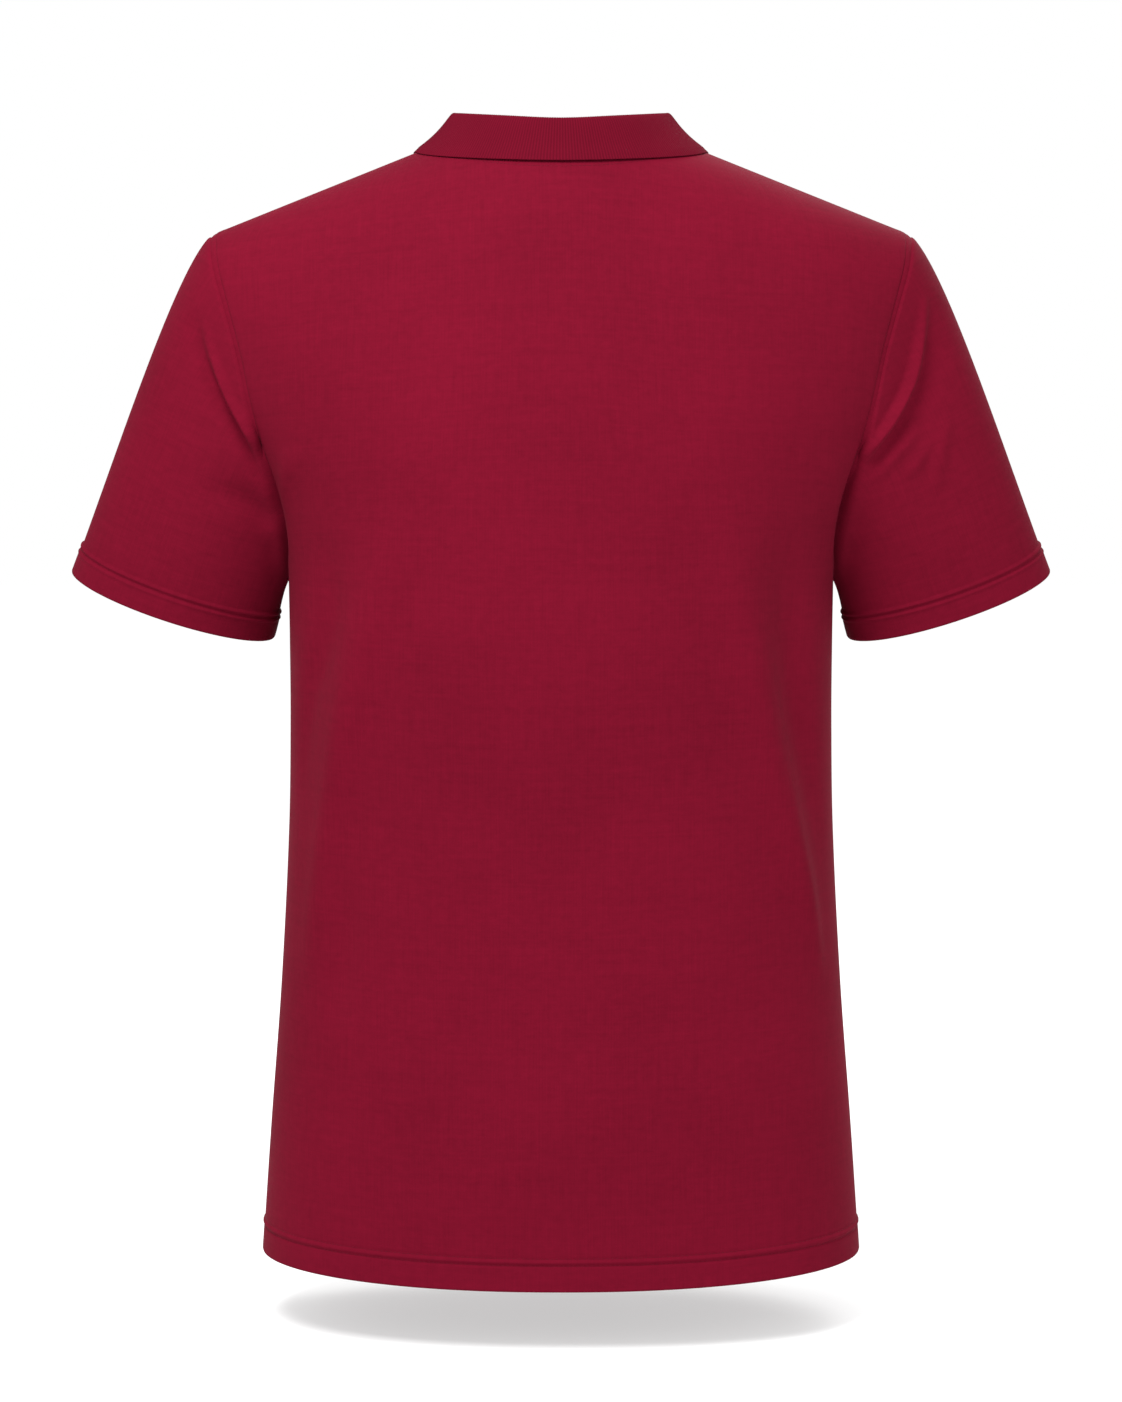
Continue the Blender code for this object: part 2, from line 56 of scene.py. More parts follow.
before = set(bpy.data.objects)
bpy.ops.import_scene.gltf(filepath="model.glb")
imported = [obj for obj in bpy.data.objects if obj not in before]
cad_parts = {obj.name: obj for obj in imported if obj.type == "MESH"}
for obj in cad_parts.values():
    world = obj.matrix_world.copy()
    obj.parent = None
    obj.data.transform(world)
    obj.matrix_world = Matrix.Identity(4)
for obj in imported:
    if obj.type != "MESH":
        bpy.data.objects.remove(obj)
CAD_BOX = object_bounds()
BODY = "root"

MM = 0.001
BACK = 1.0
FRONT = -1.0

# The outside of each finished piece, which the stitches and the flat sizes are read from
Surface = namedtuple("Surface", "points normals heights")
SURFACES = {}

# Shape of the solids, which the cloth follows: rings of the trunk from the hem up to the armpits
SECTION_POWER = 2.3
ARMPIT_HEIGHT = -0.272
HEM_HEIGHT = -0.7025
HEM_DIP = 0.005
Ring = namedtuple("Ring", "height half_width back_depth front_depth")
RINGS = (
    Ring(-0.7025, 0.1920, 0.124, 0.117),
    Ring(-0.620, 0.1862, 0.120, 0.112),
    Ring(-0.530, 0.1793, 0.114, 0.107),
    Ring(-0.430, 0.1740, 0.115, 0.108),
    Ring(-0.360, 0.1728, 0.1205, 0.1145),
    Ring(-0.310, 0.1730, 0.1243, 0.1184),
    Ring(-0.272, 0.1735, 0.1250, 0.1190),
)

# Armhole from the armpit (rise 0) to the shoulder point (rise 1)
SHOULDER_HEIGHT = -0.0525
Armhole = namedtuple("Armhole", "rise half_width")
ARMHOLE = (
    Armhole(0.00, 0.1735),
    Armhole(0.07, 0.1746),
    Armhole(0.20, 0.1782),
    Armhole(0.40, 0.1890),
    Armhole(0.65, 0.2003),
    Armhole(0.80, 0.2092),
    Armhole(0.91, 0.2158),
    Armhole(1.00, 0.2185),
)
ARMHOLE_NORMAL = np.array((0.980, 0.0, -0.200)) / math.hypot(0.980, 0.200)
ARMHOLE_CUT = 0.10
ARMHOLE_CUT_RISE = 0.55
COLUMN_CHANGE_RISE = 0.4

# Rows of the panels stay level beside the neck and bend down to its edge late, with a limit to their slope
LEVEL_ROWS = 14.0
STEEPEST_ROWS = 0.6

# Shoulders and neck edge
RIDGE_DEPTH = -0.009
BACK_ROUND = 2.6
FRONT_ROUND = 2.4
FRONT_MIDDLE_ROUND = 1.7
ROUND_CHANGE = (0.030, 0.120)
NECK_HALF_WIDTH = 0.078
NECK_SIDE_HEIGHT = 0.0036
MIDDLE_EASE = 0.024
BACK_NECK_HEIGHT = -0.006
FRONT_NECK_HEIGHT = -0.072

# Placket
OPENING_HALF_WIDTH = 0.013
PLACKET_HALF_WIDTH = 0.0165
PLACKET_OVERRUN = 0.0065
PLACKET_RISE = 0.36
NECK_TO_ARMPIT = FRONT_NECK_HEIGHT - ARMPIT_HEIGHT
PLACKET_FOOT = ARMPIT_HEIGHT + PLACKET_RISE * NECK_TO_ARMPIT
PLACKET_TOP = 0.997
PLACKET_RUN = 0.2
PLACKET_ROWS = 60
PLACKET_COLUMNS = 5
PLACKET_ROLL = 0.5 * MM
PLACKET_ROLL_WIDTH = 0.9 * MM
PLACKET_INSET = 2.2 * MM
PLACKET_GROOVE = 0.22 * MM
PLACKET_GROOVE_WIDTH = 0.7 * MM

# Sleeve
CUFF_OUTER = np.array((0.3128, -0.026, -0.2685))
CUFF_INNER = np.array((0.1862, -0.026, -0.3098))
CUFF_HALF_DEPTH = 0.046
CUFF_FORWARD = 0.185
CUFF_POWER = 2.0
SLEEVE_START_PULL = (0.35, 0.30)
SLEEVE_END_PULL = (0.90, 1.05)
SLEEVE_END_CHORD = 0.60
SLEEVE_CARRY_ON = (0.15, 0.65)
BELOW_RIDGE = 0.995
BEFORE_EDGE = 0.97

# Collar, from the middle of the back (0) to the front end (1)
Station = namedtuple("Station", "along fold_x fold_y fold_z edge_x edge_z")
COLLAR = (
    Station(-0.18, -0.0345, 0.0545, 0.0193, -0.0450, -0.0087),
    Station(0.00, 0.0000, 0.0655, 0.0175, 0.0000, -0.0101),
    Station(0.18, 0.0345, 0.0545, 0.0193, 0.0450, -0.0087),
    Station(0.34, 0.0585, 0.0310, 0.0213, 0.0770, -0.0061),
    Station(0.42, 0.0655, 0.0140, 0.0222, 0.0890, -0.0040),
    Station(0.50, 0.0680, -0.0060, 0.0225, 0.0935, -0.0025),
    Station(0.58, 0.0670, -0.0270, 0.0160, 0.0925, -0.0125),
    Station(0.66, 0.0610, -0.0450, 0.0020, 0.0860, -0.0300),
    Station(0.84, 0.0370, -0.0700, -0.0290, 0.0620, -0.0620),
    Station(1.00, 0.0050, -0.0800, -0.0480, 0.0310, -0.0900),
)
COLLAR_WALL = 1.6 * MM
LeafClear = namedtuple("LeafClear", "back shoulder")
COLLAR_CLEAR = LeafClear(1.8 * MM, 0.45 * MM)
COLLAR_END_X = 0.004
FOLD_ARRIVAL = (0.36, 0.30)
FOLD_LEAVING = (0.45, 0.05)
LEAF_KICK = 0.3
LEAF_HOLLOW = 2.6 * MM
LEAF_HOLLOW_PLACE = (0.46, 0.16)
LEAF_HOLLOW_POWER = 1.5
SHOULDER_STATION = 0.42
LEAF_EDGE_WALL = 0.7 * MM
LEAF_EDGE_REACH = 5.0 * MM
COLLAR_END_ROLL = 0.3 * MM
COLLAR_END_WIDTH = 0.8 * MM

# Cloth as it shows
WALL = 1.2 * MM
HEM_WALL = 2.4 * MM
SEAM_GAP = 0.3 * MM
PLACKET_WALL = 1.4 * MM

# Twin-needle rows of the turned hems, measured up from the edge
HemRows = namedtuple("HemRows", "upper lower")
BODY_HEM = HemRows(19.8 * MM, 15.4 * MM)
CUFF_HEM = HemRows(17.8 * MM, 13.6 * MM)
HEM_REACH = 26.0 * MM
HEM_FADE = 2.0 * MM
HEM_WALL_FADE = 1.5 * MM
NEEDLE_GROOVE = 0.6 * MM
NEEDLE_GROOVE_WIDTH = 0.9 * MM
HEM_WELT = 0.75 * MM
HEM_STEP = 0.3 * MM

# Rolled seams, where two pieces turn in to meet
SEAM_GROOVE = 0.14 * MM
SEAM_GROOVE_WIDTH = 1.0 * MM
SEAM_ROLL = 0.12 * MM
SEAM_ROLL_PLACE = 3.6 * MM
SEAM_ROLL_WIDTH = 2.0 * MM

# The armhole seam's lower part sinks between the sleeve and the trunk in a narrow tuck and a wide valley.
# Each starts, is full, ends and is gone at a share of the armhole's height.
Sink = namedtuple("Sink", "depth width start full end gone")
ARMHOLE_SINKS = (
    Sink(3.0 * MM, 2.0 * MM, 0.01, 0.06, 0.20, 0.40),
    Sink(2.6 * MM, 12.0 * MM, 0.02, 0.10, 0.22, 0.60),
)

# How far the sleeve's first edge starts inside the armhole and lies under the panels, and the reach from the
# seam over which the sleeve's outward directions turn into theirs
SLEEVE_UNDERLAP = 0.8 * MM
SLEEVE_UNDER = 0.05 * MM
SEAM_TURN = 6.0 * MM

# Creases. Each row has two numbers that place it on its piece, how far the cloth stands out there (in if
# negative) and how wide the crease is to either side. On a panel the place is x and z.
Crease = namedtuple("Crease", "key first second rise width")
BACK_CREASES = (
    ((0.0989, -0.2177, 0.0, 0.018), (0.1168, -0.2861, 0.0042, 0.016), (0.1344, -0.3557, 0.0057, 0.014),
     (0.1527, -0.4709, 0.003, 0.013), (0.16, -0.53, 0.0, 0.012)),
    ((0.149, -0.235, 0.0, 0.012), (0.1437, -0.2812, -0.0042, 0.013), (0.1519, -0.3194, -0.0053, 0.013),
     (0.1575, -0.3453, -0.0034, 0.012), (0.164, -0.42, 0.0, 0.01)),
    ((0.133, -0.45, 0.0, 0.01), (0.1351, -0.5003, -0.0023, 0.011), (0.145, -0.56, 0.0, 0.01)),
    ((-0.0946, -0.2115, 0.0, 0.02), (-0.1104, -0.2797, 0.0046, 0.018), (-0.13, -0.3742, 0.0061, 0.016),
     (-0.15, -0.4579, 0.0034, 0.014), (-0.161, -0.525, 0.0, 0.012)),
    ((-0.136, -0.23, 0.0, 0.016), (-0.1424, -0.2811, -0.0049, 0.018), (-0.148, -0.3437, -0.0065, 0.018),
     (-0.156, -0.4, -0.003, 0.014), (-0.164, -0.45, 0.0, 0.012)),
    ((-0.14, -0.395, 0.0, 0.008), (-0.1432, -0.4255, 0.0019, 0.009), (-0.152, -0.4613, 0.0027, 0.009),
     (-0.1601, -0.4972, 0.0015, 0.008), (-0.165, -0.53, 0.0, 0.008)),
    ((0.1759, -0.226, 0.0, 0.005), (0.1713, -0.2007, 0.0027, 0.006), (0.1605, -0.1885, 0.0, 0.007)),
    ((-0.1759, -0.224, 0.0, 0.005), (-0.17, -0.204, 0.0019, 0.006), (-0.16, -0.193, 0.0, 0.007)),
    ((-0.0145, -0.013, 0.0, 0.0015), (-0.0158, -0.017, -0.0008, 0.0018), (-0.017, -0.0215, 0.0, 0.002)),
)
FRONT_CREASES = (
    ((0.105, -0.22, 0.0, 0.018), (0.121, -0.29, 0.0038, 0.016), (0.138, -0.37, 0.0053, 0.015),
     (0.154, -0.48, 0.0023, 0.013), (0.16, -0.54, 0.0, 0.012)),
    ((0.15, -0.24, 0.0, 0.012), (0.148, -0.29, -0.0046, 0.013), (0.155, -0.35, -0.003, 0.012),
     (0.162, -0.41, 0.0, 0.01)),
    ((-0.098, -0.205, 0.0, 0.02), (-0.113, -0.275, 0.0042, 0.017), (-0.129, -0.36, 0.0057, 0.015),
     (-0.148, -0.45, 0.0027, 0.014), (-0.158, -0.515, 0.0, 0.012)),
    ((-0.14, -0.235, 0.0, 0.014), (-0.144, -0.29, -0.0046, 0.016), (-0.152, -0.36, -0.0046, 0.015),
     (-0.16, -0.43, 0.0, 0.012)),
    ((0.02, -0.212, 0.0, 0.01), (0.033, -0.245, 0.0023, 0.012), (0.048, -0.29, 0.0, 0.014)),
    ((-0.02, -0.212, 0.0, 0.01), (-0.036, -0.24, 0.0019, 0.011), (-0.054, -0.278, 0.0, 0.014)),
    ((0.1755, -0.225, 0.0, 0.005), (0.169, -0.202, 0.0023, 0.006), (0.158, -0.19, 0.0, 0.007)),
    ((-0.1755, -0.227, 0.0, 0.005), (-0.1705, -0.205, 0.0027, 0.006), (-0.16, -0.19, 0.0, 0.007)),
)

# On a sleeve the place is turn, from -1 at the shoulder over the front to 0 at the armpit and over the back
# to 1 at the shoulder, and share, from the armhole (0) to the cuff (1)
LEFT_SLEEVE_CREASES = (
    ((0.78, 0.25, 0.0, 0.009), (0.7, 0.28, 0.0036, 0.008), (0.61, 0.29, 0.006, 0.0068),
     (0.52, 0.24, 0.0064, 0.006), (0.4, 0.11, 0.0044, 0.005), (0.34, 0.01, 0.001, 0.0045)),
    ((0.74, 0.22, 0.0, 0.004), (0.66, 0.25, -0.0034, 0.004), (0.56, 0.225, -0.0062, 0.0036),
     (0.46, 0.125, -0.0062, 0.0034), (0.37, 0.01, 0.0, 0.0035)),
    ((0.56, 0.6, 0.0, 0.009), (0.45, 0.44, 0.0026, 0.009), (0.33, 0.24, 0.0032, 0.008),
     (0.26, 0.05, 0.0, 0.006)),
    ((-0.78, 0.4, 0.0, 0.009), (-0.64, 0.28, 0.0036, 0.009), (-0.5, 0.15, 0.0036, 0.007),
     (-0.4, 0.03, 0.0, 0.005)),
    ((-0.82, 0.22, 0.0, 0.007), (-0.68, 0.14, -0.003, 0.007), (-0.54, 0.04, 0.0, 0.005)),
)
RIGHT_SLEEVE_CREASES = (
    ((0.84, 0.24, 0.0, 0.016), (0.76, 0.29, 0.0022, 0.016), (0.68, 0.34, 0.0034, 0.015),
     (0.6, 0.35, 0.0038, 0.014), (0.5, 0.29, 0.0036, 0.012), (0.43, 0.18, 0.0026, 0.01),
     (0.37, 0.02, 0.0008, 0.008)),
    ((0.8, 0.21, 0.0, 0.0035), (0.71, 0.27, -0.0044, 0.0038), (0.62, 0.3, -0.0066, 0.0036),
     (0.52, 0.25, -0.0068, 0.0034), (0.44, 0.14, -0.0048, 0.0034), (0.39, 0.01, 0.0, 0.0032)),
    ((0.61, 0.42, 0.0, 0.005), (0.55, 0.39, -0.0026, 0.0055), (0.49, 0.34, -0.0028, 0.005),
     (0.43, 0.28, -0.0015, 0.0045), (0.4, 0.24, 0.0, 0.004)),
    ((0.61, 0.48, 0.0, 0.004), (0.57, 0.48, -0.0014, 0.0045), (0.52, 0.46, -0.0012, 0.0045),
     (0.49, 0.44, 0.0, 0.004)),
    ((0.7, 0.48, 0.0, 0.005), (0.66, 0.52, -0.0015, 0.005), (0.6, 0.57, -0.0013, 0.005),
     (0.57, 0.6, 0.0, 0.005)),
    ((-0.8, 0.34, 0.0, 0.009), (-0.66, 0.26, 0.004, 0.009), (-0.52, 0.14, 0.0036, 0.007),
     (-0.42, 0.02, 0.0, 0.005)),
    ((-0.62, 0.56, 0.0, 0.008), (-0.5, 0.42, 0.0026, 0.008), (-0.38, 0.26, 0.0, 0.007)),
)
CREASE_STEPS = 48
CREASE_FADE = 6.0 * MM

# How finely the cloth is meshed
BODY_STEP = 3.6 * MM
EDGE_STEPS = (0.0, 0.7 * MM, 1.4 * MM, 2.2 * MM, 3.1 * MM, 4.2 * MM, 5.6 * MM, 7.4 * MM)
HEM_STEPS = 34
MIDDLE_COLUMNS = (-1.0, -0.66, -0.33)

# The runs of cloth that one step of across and one of rise cover near the panel's side and top
SIDE_RUN = 0.26
TOP_RUN = 0.24
NECK_COLUMNS = 24
OUTER_COLUMNS = 50
UPPER_ROWS = 78
SLEEVE_COLUMNS = 216
SLEEVE_ROWS = 92
SLEEVE_READ_STEPS = 240
STAND_ROWS = 10
LEAF_ROWS = 20
COLLAR_STATIONS = 181
COLLAR_EASING = 14
RIB_COLUMNS = 4

# The last corners of the collar's mesh close its two ends and have no place on the cloth
END_CAP_LOOPS = 10

# The row of stitches round the back of the neck, and the buttonholes' bars of thread
NECK_STITCH_DROP = 8.4 * MM
NECK_STITCH_REACH = 0.052
STITCH_LIFT = 0.05 * MM
BUTTONHOLE_REACH = 7.6 * MM
BUTTONHOLE_STEP = 0.42 * MM
BUTTONHOLE_BAR = (0.25 * MM, 1.35 * MM)
BarStitch = namedtuple("BarStitch", "pitch length width lift")
BAR_STITCH = BarStitch(1.2 * MM, 1.15 * MM, 0.4 * MM, 0.0)

# Patterns of the materials, with the darkest and lightest tone of each dye; the stitch and rib tones are
# painted shade, darker between the knit's wales and the collar's ribs
WHITE = (1.0, 1.0, 1.0, 1.0)
DYE_TONES = (0.82, 1.18)
STITCH_SHADE_TONES = (0.72, 1.08)
STITCH_SHADE_SHARE = 0.28
RIB_SHADE_TONES = (0.54, 0.98)
THREAD_TONES = (0.66, 1.12)
BUTTON_TONES = (0.78, 1.35)
FLOOR_TONES = (0.49, 0.51)
SHEEN_ROUGHNESS = 0.45
CLOTH_SPECULAR = 0.03
NOISE_PLACE = (17.3, 5.7, 2.9)
YarnNoise = namedtuple("YarnNoise", "across up detail roughness")
YARN_NOISES = (
    YarnNoise(900.0, 28.0, 2.0, 0.5),
    YarnNoise(22.0, 700.0, 2.0, 0.5),
    YarnNoise(9.0, 160.0, 3.0, 0.5),
    YarnNoise(150.0, 240.0, 4.0, 0.6),
)

# The studio: a power is the key's or the fill's setting and a share of it
FLOOR_REACH = 8.0
FLOOR_GLOW = 0.52
SoftLight = namedtuple("SoftLight", "name place aim size setting share")
SOFT_LIGHTS = (
    SoftLight("key_light", (0.50, 1.25, 1.30), (0.0, 0.0, -0.15), 0.8, "key", 1.0),
    SoftLight("fill_light", (-2.0, 1.8, 0.4), (0.0, 0.0, -0.35), 1.6, "fill", 1.0),
    SoftLight("front_light", (-0.9, -1.6, 1.0), (0.0, 0.0, -0.30), 1.2, "key", 0.55),
)
CAMERA_PLACE = (0.0, 3.0, -0.10)
CAMERA_AIM = (0.0, 0.0, -0.3508)
CAMERA_LENS = 120.79

# Buttons
BUTTON_HEIGHTS = (-0.0855, -0.1265, -0.1675)
BUTTON_RADIUS = 5.75 * MM
ButtonTurn = namedtuple("ButtonTurn", "radius rise")
BUTTON_PROFILE = (
    ButtonTurn(0.00, 0.00 * MM), ButtonTurn(0.72, 0.00 * MM), ButtonTurn(0.86, 0.25 * MM),
    ButtonTurn(0.96, 0.80 * MM), ButtonTurn(1.00, 1.40 * MM), ButtonTurn(0.985, 1.85 * MM),
    ButtonTurn(0.93, 2.22 * MM), ButtonTurn(0.86, 2.38 * MM), ButtonTurn(0.79, 2.36 * MM),
    ButtonTurn(0.72, 2.16 * MM), ButtonTurn(0.66, 1.94 * MM), ButtonTurn(0.58, 1.84 * MM),
    ButtonTurn(0.00, 1.80 * MM),
)
BUTTON_SIDES = 64
BUTTON_HOLE_RADIUS = 0.85 * MM
BUTTON_HOLE_PLACE = 1.55 * MM
BUTTON_HOLE_SIDES = 20
BUTTON_DRILL = 6.0 * MM
BUTTON_SHARP = math.radians(40.0)
BUTTON_STRANDS = (-0.55, -0.18, 0.18, 0.55)
BUTTON_STRAND_SPREAD = 0.8
BUTTON_THREAD_WIDTH = 0.36 * MM
BUTTON_THREAD_RISE = 1.95 * MM


def smooth_step(value):
    value = np.clip(value, 0.0, 1.0)
    return value * value * (3.0 - 2.0 * value)


def mix(first, second, share):
    return first + (second - first) * share


def bell(distance, width):
    """1 in the middle of a crease or groove, falling off to either side."""
    return np.exp(-(distance / width) ** 2)


def unit(vectors):
    return vectors / np.maximum(np.linalg.norm(vectors, axis=-1, keepdims=True), 1e-12)


def read_table(rows, at, column):
    """Read one column of a table at values of its first column, along a smooth curve through the rows."""
    keys = np.array([row[0] for row in rows], float)
    values = np.array([getattr(row, column) for row in rows])
    slopes = np.empty(len(keys))
    slopes[1:-1] = (values[2:] - values[:-2]) / (keys[2:] - keys[:-2])
    slopes[0] = (values[1] - values[0]) / (keys[1] - keys[0])
    slopes[-1] = (values[-1] - values[-2]) / (keys[-1] - keys[-2])
    at = np.clip(at, keys[0], keys[-1])
    index = np.clip(np.searchsorted(keys, at, side="right") - 1, 0, len(keys) - 2)
    step = keys[index + 1] - keys[index]
    share = (at - keys[index]) / step
    square = share * share
    cube = square * share
    return ((2 * cube - 3 * square + 1) * values[index] + (cube - 2 * square + share) * step * slopes[index]
            + (3 * square - 2 * cube) * values[index + 1] + (cube - square) * step * slopes[index + 1])


def hermite(start, start_pull, end, end_pull, share):
    """Points on the curve that leaves one point along a pull and reaches another along a second pull."""
    square = share * share
    cube = square * share
    return (start * (2 * cube - 3 * square + 1) + start_pull * (cube - 2 * square + share)
            + end * (3 * square - 2 * cube) + end_pull * (cube - square))


def column_x(across, half_width, ringed):
    """A column's distance from the middle; across is -1 there, 0 at the placket's edge and 1 outside."""
    reach = np.clip(across, 0.0, 1.0)
    spread = mix(reach, np.sin(0.5 * math.pi * reach) ** (2.0 / SECTION_POWER), ringed)
    outside = OPENING_HALF_WIDTH + (half_width - OPENING_HALF_WIDTH) * spread
    return np.where(across < 0.0, OPENING_HALF_WIDTH * (1.0 + across), outside)


def ring_sizes(side, height):
    """The trunk's half width and its depth on one side, at a height."""
    depth = "back_depth" if side == BACK else "front_depth"
    return read_table(RINGS, height, "half_width"), read_table(RINGS, height, depth)


def ring_depth(share):
    return (1.0 - np.clip(share, 0.0, 1.0) ** SECTION_POWER) ** (1.0 / SECTION_POWER)


def ridge_height(x):
    slope = (SHOULDER_HEIGHT - NECK_SIDE_HEIGHT) / (ARMHOLE[-1].half_width - NECK_HALF_WIDTH)
    eased = np.where(x < MIDDLE_EASE, (x * x + MIDDLE_EASE ** 2) / (2.0 * MIDDLE_EASE), x)
    return NECK_SIDE_HEIGHT + (eased - NECK_HALF_WIDTH) * slope


def top_height(side, x):
    """The height at which a panel ends, at its shoulder seam or its neck edge."""
    middle = BACK_NECK_HEIGHT if side == BACK else FRONT_NECK_HEIGHT
    curve = np.sqrt(np.clip(1.0 - (x / NECK_HALF_WIDTH) ** 2, 0.0, 1.0))
    return np.where(x >= NECK_HALF_WIDTH, ridge_height(x), mix(NECK_SIDE_HEIGHT, middle, curve))


def full_depth(side, x, lift):
    """The depth above the armpits before the shirt rounds over; lift is 0 at the armpits, 1 on the ridge."""
    half_width = read_table(ARMHOLE, lift, "half_width")
    depth = RINGS[-1].back_depth if side == BACK else RINGS[-1].front_depth
    cut = 1.0 - ARMHOLE_CUT * smooth_step(lift / ARMHOLE_CUT_RISE)
    return side * depth * ring_depth(x / half_width * cut)


def round_power(side, x):
    if side == BACK:
        return BACK_ROUND
    start, end = ROUND_CHANGE
    return mix(FRONT_MIDDLE_ROUND, FRONT_ROUND, smooth_step((x - start) / (end - start)))


def shoulder_depth(side, x, height):
    """The depth of the shirt above the armpits, where it rounds over from its full depth to the ridge."""
    climb = np.clip((height - ARMPIT_HEIGHT) / (ridge_height(x) - ARMPIT_HEIGHT), 0.0, 1.0)
    power = round_power(side, x)
    return mix(RIDGE_DEPTH, full_depth(side, x, climb), (1.0 - climb ** power) ** (1.0 / power))


def form_normals(side, points):
    """The outward directions of the shirt's form near its neck and shoulders."""
    def form(x, y, z):
        x = np.abs(x)
        power = round_power(side, x)
        climb = np.maximum((z - ARMPIT_HEIGHT) / (ridge_height(x) - ARMPIT_HEIGHT), 0.0)
        depth = full_depth(side, x, np.minimum(climb, 1.0))
        reach = np.maximum((y - RIDGE_DEPTH) / (depth - RIDGE_DEPTH), 0.0)
        return reach ** power + climb ** power

    x, y, z = points[..., 0], points[..., 1], points[..., 2]
    step = 0.05 * MM
    return unit(np.stack((form(x + step, y, z) - form(x - step, y, z),
                          form(x, y + step, z) - form(x, y - step, z),
                          form(x, y, z + step) - form(x, y, z - step)), axis=-1))


def body_points(side, across, rise):
    """Points on a panel's outside, left half; rise is 0 at the hem, 1 at the armpits, 2 at the top."""
    across, rise = np.broadcast_arrays(np.asarray(across, float), np.asarray(rise, float))
    low = np.minimum(rise, 1.0)
    height = mix(HEM_HEIGHT, ARMPIT_HEIGHT, low)
    half_width, depth = ring_sizes(side, height)
    x = column_x(across, half_width, 1.0)
    dip = HEM_DIP * (1.0 - low) ** 2 * (1.0 - np.clip(x / half_width, 0.0, 1.0) ** 2)
    trunk = np.stack((x, side * depth * ring_depth(x / half_width), height - dip), axis=-1)
    lift = np.clip(rise - 1.0, 0.0, 1.0)
    half_width = read_table(ARMHOLE, lift, "half_width")
    x = column_x(across, half_width, 1.0 - smooth_step(lift / COLUMN_CHANGE_RISE))
    top_x = column_x(across, ARMHOLE[-1].half_width, 0.0)
    drop = ridge_height(top_x) - top_height(side, top_x)
    climb = ridge_height(top_x) - ARMPIT_HEIGHT
    bend = np.minimum(LEVEL_ROWS, STEEPEST_ROWS * climb / np.maximum(drop, 1e-6))
    bend = mix(1.0, bend, smooth_step((top_x - PLACKET_HALF_WIDTH) / (0.5 * NECK_HALF_WIDTH)))
    height = mix(ARMPIT_HEIGHT, ridge_height(top_x), lift) - drop * lift ** bend
    yoke = np.stack((x, shoulder_depth(side, x, height), height), axis=-1)
    return np.where((rise <= 1.0)[..., None], trunk, yoke)


def panel_place(side, x, z):
    """The point of a panel at a distance from the middle and a height."""
    reach = np.abs(x)
    half_width, depth = ring_sizes(side, z)
    low = side * depth * ring_depth(reach / half_width)
    y = np.where(z < ARMPIT_HEIGHT, low, shoulder_depth(side, reach, z))
    return np.stack((x, y, z), axis=-1)


def across_at(x):
    return np.maximum((x - OPENING_HALF_WIDTH) / (ARMHOLE[-1].half_width - OPENING_HALF_WIDTH), 0.0)


def mirrored(points):
    return points * np.array((-1.0, 1.0, 1.0))


def grid_normals(points, closed=False):
    """Directions square to a grid of points, along (up its rows) x (along its columns)."""
    if closed:
        along = np.roll(points, -1, axis=1) - np.roll(points, 1, axis=1)
    else:
        along = np.gradient(points, axis=1)
    return unit(np.cross(np.gradient(points, axis=0), along))


def run_lengths(points, axis):
    """Lengths along a grid's rows or columns, from its first point."""
    steps = np.linalg.norm(np.diff(points, axis=axis), axis=-1)
    first = np.zeros_like(np.take(steps, [0], axis=axis))
    return np.concatenate((first, np.cumsum(steps, axis=axis)), axis=axis)


def read_along(wanted, lengths, values):
    """A path's points or normals at distances along it."""
    return np.stack([np.interp(wanted, lengths, values[..., axis]) for axis in range(3)], axis=-1)


def crease_relief(points, creases, place):
    """How far creases move a grid of points out along its normals."""
    relief = np.zeros(points.shape[:-1])
    flat = points.reshape(-1, 3)
    for crease in creases:
        rows = [Crease(key, *row) for key, row in enumerate(crease)]
        steps = np.linspace(0.0, len(rows) - 1.0, CREASE_STEPS)
        first, second, rise, width = (read_table(rows, steps, name) for name in Crease._fields[1:])
        path = place(first, second)
        best = np.full(len(flat), np.inf)
        found = np.zeros(len(flat))
        for step, start in enumerate(path[:-1]):
            run = path[step + 1] - start
            share = np.clip((flat - start) @ run / (run @ run), 0.0, 1.0)
            distance = np.linalg.norm(flat - start - share[:, None] * run, axis=1)
            spread = mix(width[step], width[step + 1], share)
            value = mix(rise[step], rise[step + 1], share) * bell(distance, spread)
            nearer = distance < best
            best = np.where(nearer, distance, best)
            found = np.where(nearer, value, found)
        relief += found.reshape(relief.shape)
    return relief


def seam_relief(distance):
    """A seam's groove and the roll of cloth beside it, by the distance from the seam."""
    return (SEAM_ROLL * bell(distance - SEAM_ROLL_PLACE, SEAM_ROLL_WIDTH)
            - SEAM_GROOVE * bell(distance, SEAM_GROOVE_WIDTH))


def tuck_relief(distance, lift):
    """How deep the armhole seam sinks, by the distance from it and the share of the armhole's height."""
    relief = 0.0
    for sink in ARMHOLE_SINKS:
        share = smooth_step((lift - sink.start) / (sink.full - sink.start))
        share = share * smooth_step((sink.gone - lift) / (sink.gone - sink.end))
        relief = relief - sink.depth * share * bell(distance, sink.width)
    return relief


def hem_relief(distance, rows):
    """A turned hem's needle grooves, their welt and the doubled cloth, by the distance from the edge."""
    doubled = HEM_STEP * (1.0 - smooth_step((distance - rows.upper) / HEM_FADE))
    grooves = NEEDLE_GROOVE * (bell(distance - rows.upper, NEEDLE_GROOVE_WIDTH)
                               + bell(distance - rows.lower, NEEDLE_GROOVE_WIDTH))
    welt = HEM_WELT * bell(distance - 0.5 * (rows.upper + rows.lower), 0.3 * (rows.upper - rows.lower))
    return doubled - grooves + welt


